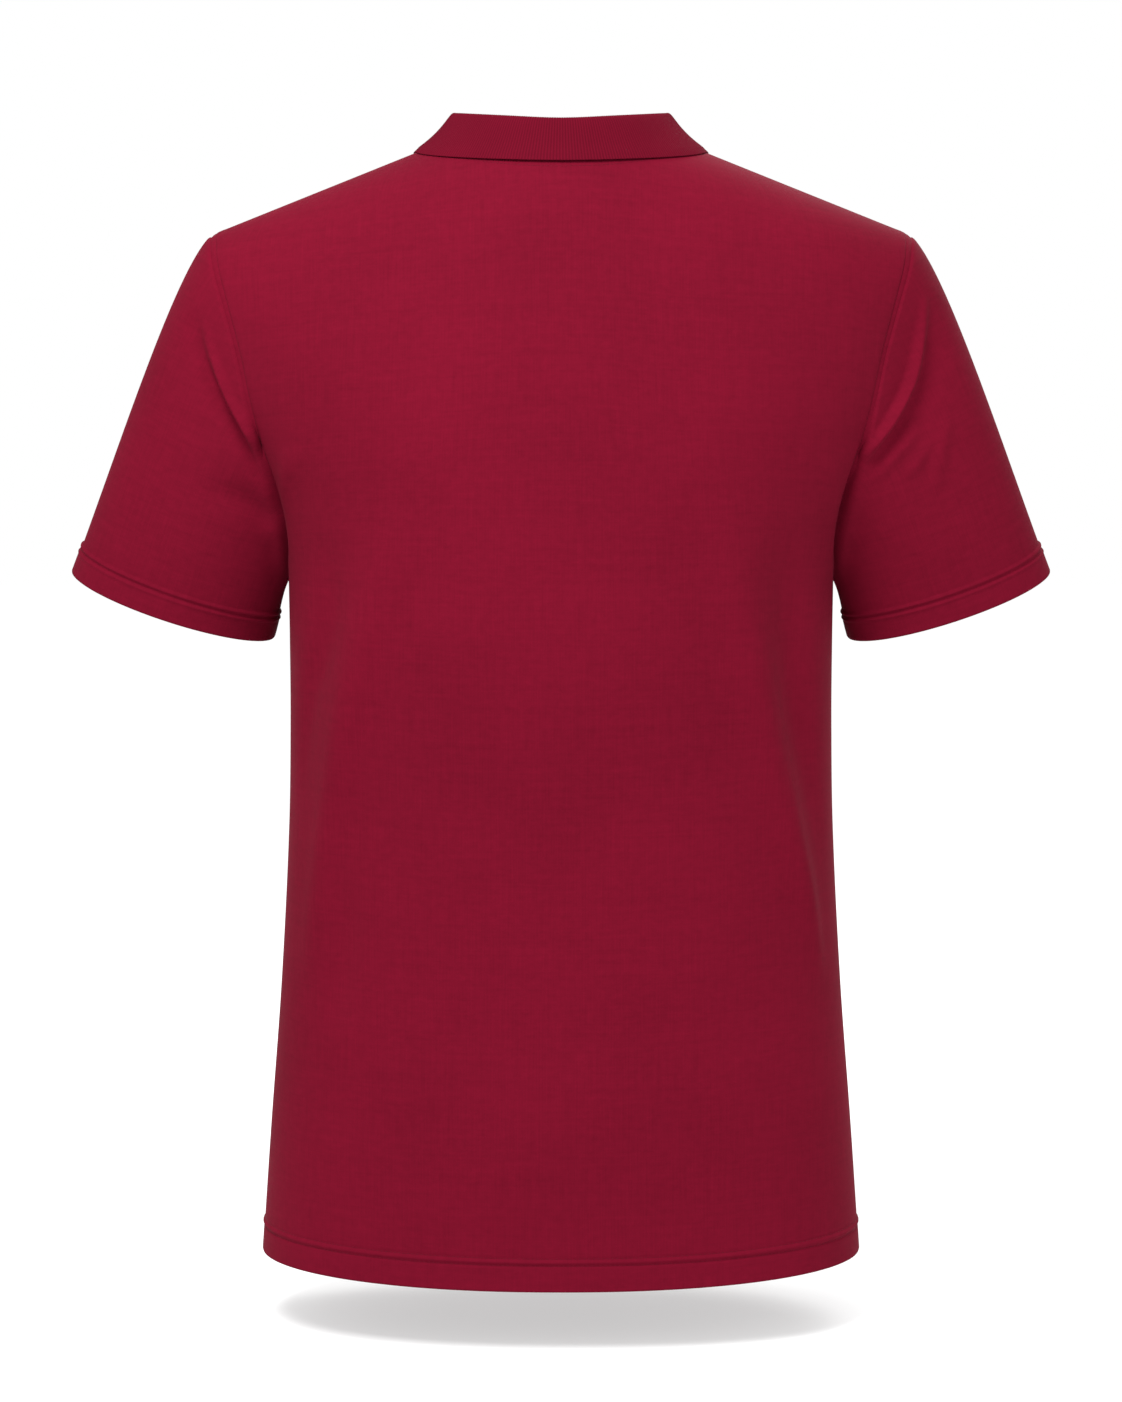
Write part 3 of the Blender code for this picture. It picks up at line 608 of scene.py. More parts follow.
def shell(name, outer, normals, walls, uv, finish, closed=False, missing=None, rim_reach=0.5):
    """A wall of cloth under a grid of points, with its first row's edge rounded; returns the object."""
    rows, columns = outer.shape[:2]
    walls = np.broadcast_to(walls, (rows, columns))[..., None]
    inner = outer - normals * walls
    down = unit(outer[0] - outer[1])
    middle = (outer[0] + inner[0]) / 2.0
    half = walls[0] / 2.0
    rim = [middle + (normals[0] * math.cos(angle) + down * (2.0 * rim_reach) * math.sin(angle)) * half
           for angle in (math.pi / 4.0, math.pi / 2.0, 3.0 * math.pi / 4.0)]
    vertices = np.concatenate([outer.reshape(-1, 3), inner.reshape(-1, 3)] + rim)
    count = rows * columns
    last = columns if closed else columns - 1
    i, j = (part.ravel() for part in np.meshgrid(np.arange(rows - 1), np.arange(last), indexing="ij"))
    if missing is not None:
        kept = ~missing[i, j]
        i, j = i[kept], j[kept]
    after = (j + 1) % columns
    row, above = i * columns, (i + 1) * columns
    corners = np.stack((row + j, row + after, above + after, above + j), 1)
    places = np.stack((uv[i, j], uv[i, j + 1], uv[i + 1, j + 1], uv[i + 1, j]), 1)
    outside = corners[:, ::-1]
    inside = corners + count
    faces = [outside, inside]
    face_uv = [places[:, ::-1], places]
    edges = np.concatenate([np.stack((outside[:, k], outside[:, (k + 1) % 4]), 1) for k in range(4)])
    edge_uv = np.concatenate([np.stack((face_uv[0][:, k], face_uv[0][:, (k + 1) % 4]), 1) for k in range(4)])
    forward = edges[:, 0].astype(np.int64) * count + edges[:, 1]
    backward = edges[:, 1].astype(np.int64) * count + edges[:, 0]
    border = ~np.isin(forward, backward)
    edges, edge_uv = edges[border], edge_uv[border]
    on_rim = (edges < columns).all(axis=1)
    plain, plain_uv = edges[~on_rim], edge_uv[~on_rim]
    faces.append(np.stack((plain[:, 1], plain[:, 0], plain[:, 0] + count, plain[:, 1] + count), 1))
    face_uv.append(np.stack((plain_uv[:, 1], plain_uv[:, 0], plain_uv[:, 0], plain_uv[:, 1]), 1))
    rounded, rounded_uv = edges[on_rim], edge_uv[on_rim]
    levels = [0, 2 * count, 2 * count + columns, 2 * count + 2 * columns, count]
    for low, high in zip(levels, levels[1:]):
        faces.append(np.stack((rounded[:, 1] + low, rounded[:, 0] + low,
                               rounded[:, 0] + high, rounded[:, 1] + high), 1))
        face_uv.append(np.stack((rounded_uv[:, 1], rounded_uv[:, 0], rounded_uv[:, 0], rounded_uv[:, 1]), 1))
    faces = np.concatenate(faces)
    face_uv = np.concatenate(face_uv).reshape(-1, 2)
    caps = []
    if not closed:
        for column in (0, columns - 1):
            loop = [column] + [level + column for level in levels[1:4]] + [count + column]
            caps.append(loop if column == 0 else loop[::-1])
    mesh = bpy.data.meshes.new(name)
    mesh.from_pydata(vertices.tolist(), [], faces.tolist() + caps)
    layer = mesh.uv_layers.new(name="cloth")
    spread = np.zeros((len(mesh.loops), 2))
    spread[:len(face_uv)] = face_uv
    layer.uv.foreach_set("vector", spread.ravel())
    return finished(name, mesh, finish)


def finished(name, mesh, finish):
    """An object for a finished mesh, at the origin, smooth and in one material."""
    mesh.validate()
    mesh.shade_smooth()
    mesh.materials.clear()
    mesh.materials.append(finish)
    return placed(name, mesh)


def placed(name, mesh):
    """An object for a mesh, at the origin."""
    made = bpy.data.objects.new(name, mesh)
    bpy.context.collection.objects.link(made)
    return made


def to_both_sides(half):
    """A grid's left half with its mirror image before it; the first column lies in the middle."""
    return np.concatenate((mirrored(half[:, :0:-1]), half), axis=1)


def panel_columns():
    """A panel's columns from the middle out to its side edge."""
    first = math.asin(OPENING_HALF_WIDTH / NECK_HALF_WIDTH)
    turns = np.linspace(first, 0.5 * math.pi, NECK_COLUMNS)
    neck = across_at(NECK_HALF_WIDTH * np.sin(turns))
    edge = 1.0 - np.array(EDGE_STEPS[::-1]) / SIDE_RUN
    outer = np.linspace(neck[-1], edge[0], OUTER_COLUMNS)
    return np.concatenate((MIDDLE_COLUMNS, neck, outer[1:], edge[1:]))


def panel_rows():
    """A panel's rises from the hem, past the armpits, to the neck and shoulders, even along the cloth."""
    trunk = ARMPIT_HEIGHT - HEM_HEIGHT
    hem = np.linspace(0.0, HEM_REACH, HEM_STEPS) / trunk
    lower = np.linspace(hem[-1], 1.0, int(trunk / BODY_STEP))
    turns = np.linspace(0.0, 1.0, UPPER_ROWS)
    edge = 1.0 - np.array(EDGE_STEPS[::-1]) / TOP_RUN
    turns = np.concatenate((turns[turns < edge[0] - 0.005], edge))
    upper = 1.0 + np.sin(0.5 * math.pi * turns) ** (2.0 / BACK_ROUND)
    placket = 1.0 + PLACKET_RISE
    upper[np.argmin(np.abs(upper - placket))] = placket
    return np.concatenate((hem, lower[1:], upper[1:]))


def body_panel(name, side, creases, finish):
    """The back or front panel: its grid, creases, seams and hem."""
    across = panel_columns()
    rises = panel_rows()
    half = body_points(side, across[None, :], rises[:, None])
    points = to_both_sides(half)
    normals = grid_normals(points) * side
    top = rises > 1.5
    normals[top] = form_normals(side, points[top])
    widths = run_lengths(half, 1)
    heights = run_lengths(points, 0)
    to_side = widths[:, -1:] - widths
    to_side = np.concatenate((to_side[:, :0:-1], to_side), axis=1)
    to_top = heights[-1:] - heights
    beside_neck = np.abs(points[-1:, :, 0]) < NECK_HALF_WIDTH - 1e-6
    relief = crease_relief(points, creases, lambda x, z: panel_place(side, x, z))
    relief += seam_relief(to_side) + tuck_relief(to_side, rises[:, None] - 1.0)
    relief += np.where(beside_neck, 0.0, seam_relief(to_top))
    relief += hem_relief(heights, BODY_HEM)
    walls = mix(WALL, HEM_WALL, 1.0 - smooth_step((heights - BODY_HEM.upper) / HEM_WALL_FADE))
    widths = np.concatenate((-widths[:, :0:-1], widths), axis=1)
    uv = np.stack((widths, heights), axis=-1)
    missing = None
    if side == FRONT:
        missing = np.zeros((len(rises), points.shape[1]), bool)
        opened = rises >= 1.0 + PLACKET_RISE - 1e-9
        middle = points.shape[1] // 2
        reach = len(MIDDLE_COLUMNS)
        missing[np.ix_(opened, np.arange(middle - reach, middle + reach))] = True
        points, normals, relief = points[:, ::-1], normals[:, ::-1], relief[:, ::-1]
        walls, uv = walls[:, ::-1], uv[:, ::-1]
    shown = points + normals * relief[..., None]
    made = shell(name, shown, normals, walls, uv, finish, missing=missing)
    return made, Surface(shown, normals, heights)


def armhole_points(turn):
    """The armhole's edge; turn runs from -1 to 1, from the shoulder over front, armpit and back."""
    lift = (1.0 - np.cos(math.pi * np.abs(turn))) / 2.0
    back = body_points(BACK, 1.0, 1.0 + lift)
    front = body_points(FRONT, 1.0, 1.0 + lift)
    return np.where((turn >= 0.0)[..., None], back, front)


def cuff_points(turn):
    middle = (CUFF_OUTER + CUFF_INNER) / 2.0
    across = (CUFF_OUTER - CUFF_INNER) / 2.0
    back = np.array((0.0, 1.0, -CUFF_FORWARD))
    back = back / np.linalg.norm(back) * CUFF_HALF_DEPTH
    angle = math.pi * turn
    power = 2.0 / CUFF_POWER
    level = np.sign(np.cos(angle)) * np.abs(np.cos(angle)) ** power
    depth = np.sign(np.sin(angle)) * np.abs(np.sin(angle)) ** power
    return middle - level[..., None] * across + depth[..., None] * back


def sleeve_points(turn, share):
    """Points on the outside of the wearer's left sleeve, from the armhole (share 0) to the cuff (1)."""
    turn, share = np.broadcast_arrays(np.asarray(turn, float), np.asarray(share, float))
    start = armhole_points(turn) - ARMHOLE_NORMAL * SLEEVE_UNDERLAP
    end = cuff_points(turn)
    lift = (1.0 - np.cos(math.pi * turn)) / 2.0
    rise = 1.0 + np.minimum(lift, BELOW_RIDGE)
    run_back = body_points(BACK, 1.0, rise) - body_points(BACK, BEFORE_EDGE, rise)
    run_front = body_points(FRONT, 1.0, rise) - body_points(FRONT, BEFORE_EDGE, rise)
    leaving = unit(np.where((turn >= 0.0)[..., None], run_back, run_front))
    low, high = SLEEVE_CARRY_ON
    leaving = unit(mix(ARMHOLE_NORMAL, leaving, smooth_step((lift - low) / (high - low))[..., None]))
    axis = np.cross(CUFF_OUTER - CUFF_INNER, (0.0, 1.0, -CUFF_FORWARD))
    axis = axis / np.linalg.norm(axis) * -np.sign(axis[2])
    length = np.linalg.norm(end - start, axis=-1, keepdims=True)
    axis = unit(mix(axis, (end - start) / length, SLEEVE_END_CHORD * lift[..., None]))
    start_pull = leaving * length * mix(*SLEEVE_START_PULL, lift)[..., None]
    end_pull = axis * length * mix(*SLEEVE_END_PULL, lift)[..., None]
    return hermite(start, start_pull, end, end_pull, share[..., None])


def seam_normals(turn):
    """The panels' outward directions along the armhole."""
    rise = 1.0 + np.clip((1.0 - np.cos(math.pi * turn)) / 2.0, 0.004, 0.990)
    found = []
    for side in (BACK, FRONT):
        up = body_points(side, 1.0, rise + 0.004) - body_points(side, 1.0, rise - 0.004)
        along = body_points(side, 1.0, rise) - body_points(side, BEFORE_EDGE, rise)
        found.append(unit(np.cross(up, along)) * side)
    return np.where((turn >= 0.0)[..., None], *found)


def sleeve(name, creases, right, finish):
    """A sleeve: its grid from the cuff up to the armhole, creases, seam and hem."""
    turns = np.linspace(0.0, 2.0, SLEEVE_COLUMNS + 1)
    turns = np.where(turns > 1.0, turns - 2.0, turns)
    shares = np.linspace(1.0, 0.0, SLEEVE_READ_STEPS)
    fine = sleeve_points(turns[None, :], shares[:, None])
    lengths = run_lengths(fine, 0)
    hem = np.linspace(0.0, HEM_REACH, HEM_STEPS)
    edge = np.array(EDGE_STEPS[::-1])
    even = np.linspace(0.0, 1.0, SLEEVE_ROWS)[1:]
    points = np.empty((HEM_STEPS + SLEEVE_ROWS - 1 + len(edge) - 1, len(turns), 3))
    heights = np.empty(points.shape[:2])
    for column in range(len(turns)):
        total = lengths[-1, column]
        middle = mix(HEM_REACH, total - edge[0], even)
        wanted = np.concatenate((hem, middle, total - edge[1:]))
        heights[:, column] = wanted
        points[:, column] = read_along(wanted, lengths[:, column], fine[:, column])
    to_seam = lengths[-1] - heights
    normals = -grid_normals(points[:, :-1], closed=True)
    normals = np.concatenate((normals, normals[:, :1]), axis=1)
    normals = unit(mix(normals, seam_normals(turns)[None], bell(to_seam, SEAM_TURN)[..., None]))
    relief = crease_relief(points, creases, sleeve_points)
    relief *= smooth_step(to_seam / CREASE_FADE)
    lifts = (1.0 - np.cos(math.pi * turns))[None, :] / 2.0
    relief += seam_relief(to_seam) + tuck_relief(to_seam, lifts) + hem_relief(heights, CUFF_HEM)
    relief -= SLEEVE_UNDER * (1.0 - smooth_step(to_seam / (2.0 * SEAM_GROOVE_WIDTH)))
    walls = mix(WALL, HEM_WALL, 1.0 - smooth_step((heights - CUFF_HEM.upper) / HEM_WALL_FADE))
    widths = run_lengths(points, 1)[HEM_STEPS:HEM_STEPS + 1]
    uv = np.stack((np.broadcast_to(widths, heights.shape), heights), axis=-1)
    shown = points + normals * relief[..., None]
    if right:
        shown, normals = mirrored(shown)[:, ::-1], mirrored(normals)[:, ::-1]
        heights, walls, uv = heights[:, ::-1], walls[:, ::-1], uv[:, ::-1]
    made = shell(name, shown[:, :-1], normals[:, :-1], walls[:, :-1], uv, finish, closed=True)
    return made, Surface(shown, normals, heights)


def neck_station(along):
    """The neck edge at a station: its point, the thickness direction there and the way out of the panel."""
    side = BACK if along < 0.5 else FRONT
    turn = math.pi * (along if side == BACK else 1.0 - along)
    x = NECK_HALF_WIDTH * math.sin(turn)
    across = across_at(max(x, OPENING_HALF_WIDTH))
    point = body_points(side, across, 2.0)
    normal = form_normals(side, point)
    step = 0.0005
    inward = body_points(side, max(across - step, 0.0), 2.0)
    outward = body_points(side, min(across + step, across_at(NECK_HALF_WIDTH)), 2.0)
    run = (outward - inward) * side
    if abs(along - 0.5) < 1e-6:
        point[1] = RIDGE_DEPTH
        run = np.array((0.0, -1.0, 0.0))
    if x < OPENING_HALF_WIDTH:
        point[0] = x if side == BACK else max(x, COLLAR_END_X)
        normal[0] = 0.0
        run = np.array((1.0, 0.0, 0.0)) * side
    if x >= NECK_HALF_WIDTH * 0.9999:
        normal[1] = 0.0
    normal = unit(normal)
    return point, normal, unit(np.cross(run, normal))


def collar_section(along):
    """The collar's face that shows, from the leaf's edge up over the fold and down the stand to the seam."""
    point, normal, upward = neck_station(along)
    seam = point + upward * SEAM_GAP - normal * WALL
    fold = np.array([read_table(COLLAR, along, column) for column in ("fold_x", "fold_y", "fold_z")])
    x = float(read_table(COLLAR, along, "edge_x"))
    height = min(float(read_table(COLLAR, along, "edge_z")), ridge_height(x))
    side = BACK if along < 0.5 else FRONT
    place = np.array((x, float(shoulder_depth(side, np.float64(x), height)), height))
    clear = mix(COLLAR_CLEAR.back, COLLAR_CLEAR.shoulder, float(smooth_step(along / SHOULDER_STATION)))
    edge = place + form_normals(side, place) * (clear + COLLAR_WALL)
    outward = unit(np.array((fold[0], fold[1] - RIDGE_DEPTH, 0.0)))
    rise = np.array((0.0, 0.0, 1.0))
    arrival = outward * FOLD_ARRIVAL[0] + rise * FOLD_ARRIVAL[1]
    leaving = outward * FOLD_LEAVING[0] + rise * FOLD_LEAVING[1]
    landing = unit(unit(edge - fold) + outward * LEAF_KICK)
    stand = np.linalg.norm(fold - seam)
    leaf = np.linalg.norm(edge - fold)
    middle, reach = LEAF_HOLLOW_PLACE
    hollow = outward * LEAF_HOLLOW * float(bell(along - middle, reach))
    down = [hermite(fold, leaving * leaf, edge, landing * leaf, share)
            - hollow * math.sin(math.pi * share) ** LEAF_HOLLOW_POWER
            for share in np.linspace(0.0, 1.0, LEAF_ROWS)]
    up = [hermite(seam, upward * stand, fold, arrival * stand, share)
          for share in np.linspace(0.0, 1.0, STAND_ROWS)[:-1]]
    return np.array(down[::-1] + up[::-1])


def collar(finish, rib_pitch):
    """The ribbed strip: a smooth strip along its stations, then ribs raised on it by geometry nodes."""
    half = np.stack([collar_section(along) for along in np.linspace(0.0, 1.0, COLLAR_STATIONS)], axis=1)
    for _ in range(COLLAR_EASING):
        half[:, 1:-1] = (half[:, :-2] + 2.0 * half[:, 1:-1] + half[:, 2:]) / 4.0
    points = to_both_sides(half)
    lengths = run_lengths(points, 1)[LEAF_ROWS // 2]
    columns = int(lengths[-1] / rib_pitch * RIB_COLUMNS)
    wanted = np.linspace(0.0, lengths[-1], columns)
    strip = np.stack([read_along(wanted, lengths, row) for row in points])
    normals = grid_normals(strip)
    heights = run_lengths(strip, 0)
    edge = np.minimum(wanted, wanted[-1] - wanted)[None, :]
    thin = 1.0 - smooth_step(heights / LEAF_EDGE_REACH)
    walls = mix(COLLAR_WALL, LEAF_EDGE_WALL, thin)
    relief = (LEAF_EDGE_WALL - COLLAR_WALL) * thin - COLLAR_END_ROLL * bell(edge, COLLAR_END_WIDTH)
    uv = np.stack((np.broadcast_to(wanted, heights.shape), heights), axis=-1)
    strip = strip + normals * relief[..., None]
    made = shell("collar_strip", strip[:, ::-1], normals[:, ::-1], walls, uv[:, ::-1], finish)
    return made, Surface(strip, normals, heights)


class Link:
    """A value in a node tree; arithmetic on it adds Math nodes."""

    def __init__(self, nodes, socket):
        self.nodes = nodes
        self.socket = socket

    def __add__(self, other):
        return self.nodes.math("ADD", self, other)

    def __radd__(self, other):
        return self.nodes.math("ADD", other, self)

    def __sub__(self, other):
        return self.nodes.math("SUBTRACT", self, other)

    def __rsub__(self, other):
        return self.nodes.math("SUBTRACT", other, self)

    def __mul__(self, other):
        return self.nodes.math("MULTIPLY", self, other)

    def __rmul__(self, other):
        return self.nodes.math("MULTIPLY", other, self)

    def __truediv__(self, other):
        return self.nodes.math("DIVIDE", self, other)

    def __rtruediv__(self, other):
        return self.nodes.math("DIVIDE", other, self)

    def __abs__(self):
        return self.nodes.math("ABSOLUTE", self)


class Nodes:
    """Adds nodes to one tree."""

    def __init__(self, tree):
        self.tree = tree

    def add(self, kind, settings=None, inputs=None, output=0):
        """One node of a type, with its settings made first and then its sockets set or linked."""
        node = self.tree.nodes.new(kind)
        for key, value in (settings or {}).items():
            if key == "stops":
                self.set_stops(node.color_ramp, value)
            else:
                setattr(node, key, value)
        for key, value in (inputs or {}).items():
            if isinstance(value, Link):
                self.tree.links.new(value.socket, node.inputs[key])
            else:
                node.inputs[key].default_value = value
        return Link(self, node.outputs[output]) if node.outputs else node

    def set_stops(self, ramp, stops):
        while len(ramp.elements) < len(stops):
            ramp.elements.new(0.5)
        for element, (place, colour) in zip(ramp.elements, stops):
            element.position = place
            element.color = colour

    def math(self, operation, first, second=0.0):
        return self.add("ShaderNodeMath", {"operation": operation}, {0: first, 1: second})

    def blend(self, share, first, second):
        """A colour between two colours."""
        return self.add("ShaderNodeMix", {"data_type": "RGBA"}, {0: share, 6: first, 7: second}, 2)

    def tones(self, share, colour, tones):
        """A dye that goes from its darkest to its lightest tone."""
        return self.blend(share, *(tone(colour, factor) for factor in tones))

    def split(self, vector):
        """The three values of a vector."""
        node = self.add("ShaderNodeSeparateXYZ", None, {0: vector}).socket.node
        return [Link(self, socket) for socket in node.outputs]

    def noise(self, vector, scale, detail, roughness=0.5):
        return self.add("ShaderNodeTexNoise", None,
                        {"Vector": vector, "Scale": scale, "Detail": detail, "Roughness": roughness})

    def scaled(self, vector, scale):
        """Places for a noise, moved away from its lattice's origin, where it is flat."""
        return self.add("ShaderNodeMapping", None,
                        {"Vector": vector, "Location": NOISE_PLACE, "Scale": scale})

    def solid(self):
        return self.add("ShaderNodeTexCoord", None, None, "Object")

    def knit(self, pitch, course_pitch, slant):
        """Where a point lies on the knit: its place, the distance across, a stitch's lean and its course."""
        place = self.add("ShaderNodeUVMap", {"uv_map": "cloth"})
        u, v, _ = self.split(place)
        lean = self.math("PINGPONG", u / pitch, 0.5)
        course = self.math("SINE", (v / course_pitch + lean * slant) * (2.0 * math.pi))
        return place, u, lean, course


def new_material(name, colour, roughness, specular, look=None):
    """A material, its Principled shader with its constants set, and its nodes; a look adds its nap."""
    made = bpy.data.materials.new(name)
    made.use_nodes = True
    shader = made.node_tree.nodes["Principled BSDF"]
    values = {"Base Color": colour, "Roughness": roughness, "Specular IOR Level": specular}
    if look is not None:
        values.update({"Sheen Weight": look.sheen, "Sheen Roughness": SHEEN_ROUGHNESS,
                       "Sheen Tint": (*look.sheen_colour, 1.0)})
    for key, value in values.items():
        shader.inputs[key].default_value = value
    return made, shader, Nodes(made.node_tree)


def paint(nodes, shader, colour, height=None, strength=0.0, distance=0.0):
    """Link a pattern's colour to a shader, and its relief as a bump."""
    nodes.tree.links.new(colour.socket, shader.inputs["Base Color"])
    if height is not None:
        bump = nodes.add("ShaderNodeBump", None,
                         {"Strength": strength, "Distance": distance, "Height": height})
        nodes.tree.links.new(bump.socket, shader.inputs["Normal"])


def tone(colour, factor):
    """A colour made lighter or darker."""
    return (colour[0] * factor, colour[1] * factor, colour[2] * factor, 1.0)


def knit_material(name, look):
    """Fine single jersey: wales of small V stitches with painted shade between them, cloudy dye and slight
    streaks of uneven yarn.
    """
    made, shader, nodes = new_material(name, tone(look.colour, 1.0), look.roughness, CLOTH_SPECULAR, look)
    place, u, lean, course = nodes.knit(look.wale_pitch, look.course_pitch, 1.4)
    wale = nodes.math("SINE", u * (math.pi / look.wale_pitch))
    stitches = abs(wale) * (course * 0.35 + 0.65)
    clouds = nodes.noise(nodes.solid(), 9.0, 3.0)
    streaks, rows, bands, mottle = (
        nodes.noise(nodes.scaled(place, (yarn.across, yarn.up, 1.0)), 1.0, yarn.detail, yarn.roughness)
        for yarn in YARN_NOISES)
    shade = ((clouds - 0.5) * 1.2 + (streaks - 0.5) * 0.8 + (rows - 0.5) * 0.5 + (bands - 0.5) * 0.5
             + (mottle - 0.5) * 1.1 + 0.5)
    cloth = nodes.tones(shade, look.colour, DYE_TONES)
    # painted shade: the knit is darker between its wales and lighter on its stitches
    stitch_shade = nodes.tones(stitches, look.colour, STITCH_SHADE_TONES)
    height = stitches * 0.7 + streaks * 0.5 + clouds * 0.2
    paint(nodes, shader, nodes.blend(STITCH_SHADE_SHARE, cloth, stitch_shade), height, look.relief, 0.12 * MM)
    return made


def rib_material(name, look):
    """Flat-knit rib: painted shade makes it darker between its ribs, with small stitches up each rib."""
    made, shader, nodes = new_material(name, tone(look.colour, 0.80), 0.88, CLOTH_SPECULAR, look)
    _, u, _, course = nodes.knit(look.rib_pitch, look.course_pitch, 1.2)
    rib = nodes.math("COSINE", u * (2.0 * math.pi / look.rib_pitch)) * 0.5 + 0.5
    # painted shade: the collar's knit is darker in the valleys between its ribs
    shade = rib * 0.55 + (nodes.noise(nodes.solid(), 30.0, 3.0) - 0.5) * 0.4 + 0.2
    colour = nodes.tones(shade, look.colour, RIB_SHADE_TONES)
    paint(nodes, shader, colour, rib * 0.8 + course * rib * 0.25, look.relief, 0.3 * MM)
    return made


def thread_material(name, look):
    """Twisted sewing thread, a little glossier than the cloth."""
    made, shader, nodes = new_material(name, tone(look.colour, 0.9), 0.7, 0.1)
    twist = nodes.noise(nodes.solid(), 2600.0, 2.0)
    paint(nodes, shader, nodes.tones(twist, look.colour, THREAD_TONES), twist, 0.4, 0.1 * MM)
    return made


def button_material(name, look):
    """Cast resin dyed to match the cloth, with faint swirls and fine wear."""
    made, shader, nodes = new_material(name, tone(look.button_colour, 1.0), 0.38, 0.22)
    solid = nodes.solid()
    swirl = nodes.add("ShaderNodeTexNoise", None,
                      {"Vector": solid, "Scale": 260.0, "Detail": 3.0, "Distortion": 1.6})
    colour = nodes.tones(swirl, look.button_colour, BUTTON_TONES)
    nodes.tree.links.new((swirl * 0.16 + 0.32).socket, shader.inputs["Roughness"])
    paint(nodes, shader, colour, nodes.noise(solid, 900.0, 3.0), 0.15, 0.1 * MM)
    return made


def floor_material():
    """A pale grey floor that glows enough to read as white paper."""
    made, shader, nodes = new_material("studio_floor", tone(WHITE, 0.5), 1.0, 0.0)
    shader.inputs["Emission Color"].default_value = WHITE
    shader.inputs["Emission Strength"].default_value = FLOOR_GLOW
    grain = nodes.noise(nodes.solid(), 3.0, 2.0)
    paint(nodes, shader, nodes.tones(grain, WHITE, FLOOR_TONES))
    return made


def material_of(name, make, *looks):
    """A material of the scene, made once."""
    return bpy.data.materials.get(name) or make(name, *looks)


def new_tree(name, *inputs):
    """A geometry node tree with named inputs: the tree, its nodes and a link to each input."""
    tree = bpy.data.node_groups.new(name, "GeometryNodeTree")
    inputs = (("Geometry", "Geometry"), *inputs)
    for label, kind in inputs:
        tree.interface.new_socket(label, in_out="INPUT", socket_type="NodeSocket" + kind)
    tree.interface.new_socket("Geometry", in_out="OUTPUT", socket_type="NodeSocketGeometry")
    nodes = Nodes(tree)
    given = tree.nodes.new("NodeGroupInput")
    return tree, nodes, [Link(nodes, given.outputs[label]) for label, _ in inputs]


def finish_tree(tree, nodes, shape, material):
    """End a tree in real geometry of one material."""
    real = nodes.add("GeometryNodeRealizeInstances", None, {"Geometry": shape})
    done = nodes.add("GeometryNodeSetMaterial", None, {"Geometry": real, "Material": material})
    tree.links.new(done.socket, tree.nodes.new("NodeGroupOutput").inputs[0])
    return tree


def stitch_tree():
    """Geometry nodes that lay one small stitch of thread on each point."""
    tree, nodes, (points, length, width, thread) = new_tree(
        "stitch_row", ("Stitch Length", "Float"), ("Thread Width", "Float"), ("Thread", "Material"))
    bead = nodes.add("GeometryNodeMeshUVSphere", None, {"Segments": 6, "Rings": 5, "Radius": 1.0})
    bead = nodes.add("GeometryNodeSetShadeSmooth", None, {"Geometry": bead})
    size = nodes.add("ShaderNodeCombineXYZ", None, {0: length * 0.5, 1: width * 0.5, 2: width * 0.45})
    along, out = (nodes.add("GeometryNodeInputNamedAttribute", {"data_type": "FLOAT_VECTOR"}, {"Name": name})
                  for name in ("along", "out"))
    turn = nodes.add("FunctionNodeAxesToRotation", {"primary_axis": "X", "secondary_axis": "Z"},
                     {"Primary Axis": along, "Secondary Axis": out})
    rows = nodes.add("GeometryNodeInstanceOnPoints", None,
                     {"Points": points, "Instance": bead, "Rotation": turn, "Scale": size})
    return finish_tree(tree, nodes, rows, thread)


def rib_tree():
    """Geometry nodes that raise ribs across a strip, by its distance along itself."""
    tree, nodes, (strip, pitch, height, knit) = new_tree(
        "rib_strip", ("Rib Pitch", "Float"), ("Rib Height", "Float"), ("Rib Knit", "Material"))
    along = nodes.add("GeometryNodeInputNamedAttribute", {"data_type": "FLOAT"}, {"Name": "wale"})
    wave = nodes.math("COSINE", along / pitch * (2.0 * math.pi))
    push = nodes.add("ShaderNodeVectorMath", {"operation": "SCALE"},
                     {0: nodes.add("GeometryNodeInputNormal"), "Scale": wave * height * 0.5})
    ribbed = nodes.add("GeometryNodeSetPosition", None, {"Geometry": strip, "Offset": push})
    return finish_tree(tree, nodes, ribbed, knit)


def tree_named(name, make):
    return bpy.data.node_groups.get(name) or make()


def grown(base, tree, inputs, name):
    """The plain mesh that a node tree makes from an object, which it replaces."""
    modifier = base.modifiers.new("nodes", "NODES")
    modifier.node_group = tree
    for item in tree.interface.items_tree:
        if item.in_out == "INPUT" and item.name in inputs:
            modifier[item.identifier] = inputs[item.name]
    bpy.context.view_layer.update()
    evaluated = base.evaluated_get(bpy.context.evaluated_depsgraph_get())
    mesh = bpy.data.meshes.new_from_object(evaluated)
    mesh.name = name
    bpy.data.objects.remove(base, do_unlink=True)
    return placed(name, mesh)


def stitched(name, paths, pitch, length, width, lift, thread):
    """Rows of stitches along paths, each a pair of points and normals."""
    places, alongs, outs = [], [], []
    for points, normals in paths:
        lengths = run_lengths(points, 0)
        count = max(int(lengths[-1] / pitch), 1)
        spots = (np.arange(count) + 0.5) * lengths[-1] / count
        read = read_along(spots, lengths, points)
        out = unit(read_along(spots, lengths, normals))
        step = 0.2 * length
        ahead = read_along(spots + step, lengths, points)
        behind = read_along(spots - step, lengths, points)
        places.append(read + out * lift)
        alongs.append(unit(ahead - behind))
        outs.append(out)
    mesh = bpy.data.meshes.new(name + "_points")
    mesh.from_pydata(np.concatenate(places).tolist(), [], [])
    for key, values in (("along", alongs), ("out", outs)):
        layer = mesh.attributes.new(key, "FLOAT_VECTOR", "POINT")
        layer.data.foreach_set("vector", np.concatenate(values).ravel())
    return grown(placed(name + "_points", mesh), tree_named("stitch_row", stitch_tree),
                 {"Stitch Length": length, "Thread Width": width, "Thread": thread}, name)


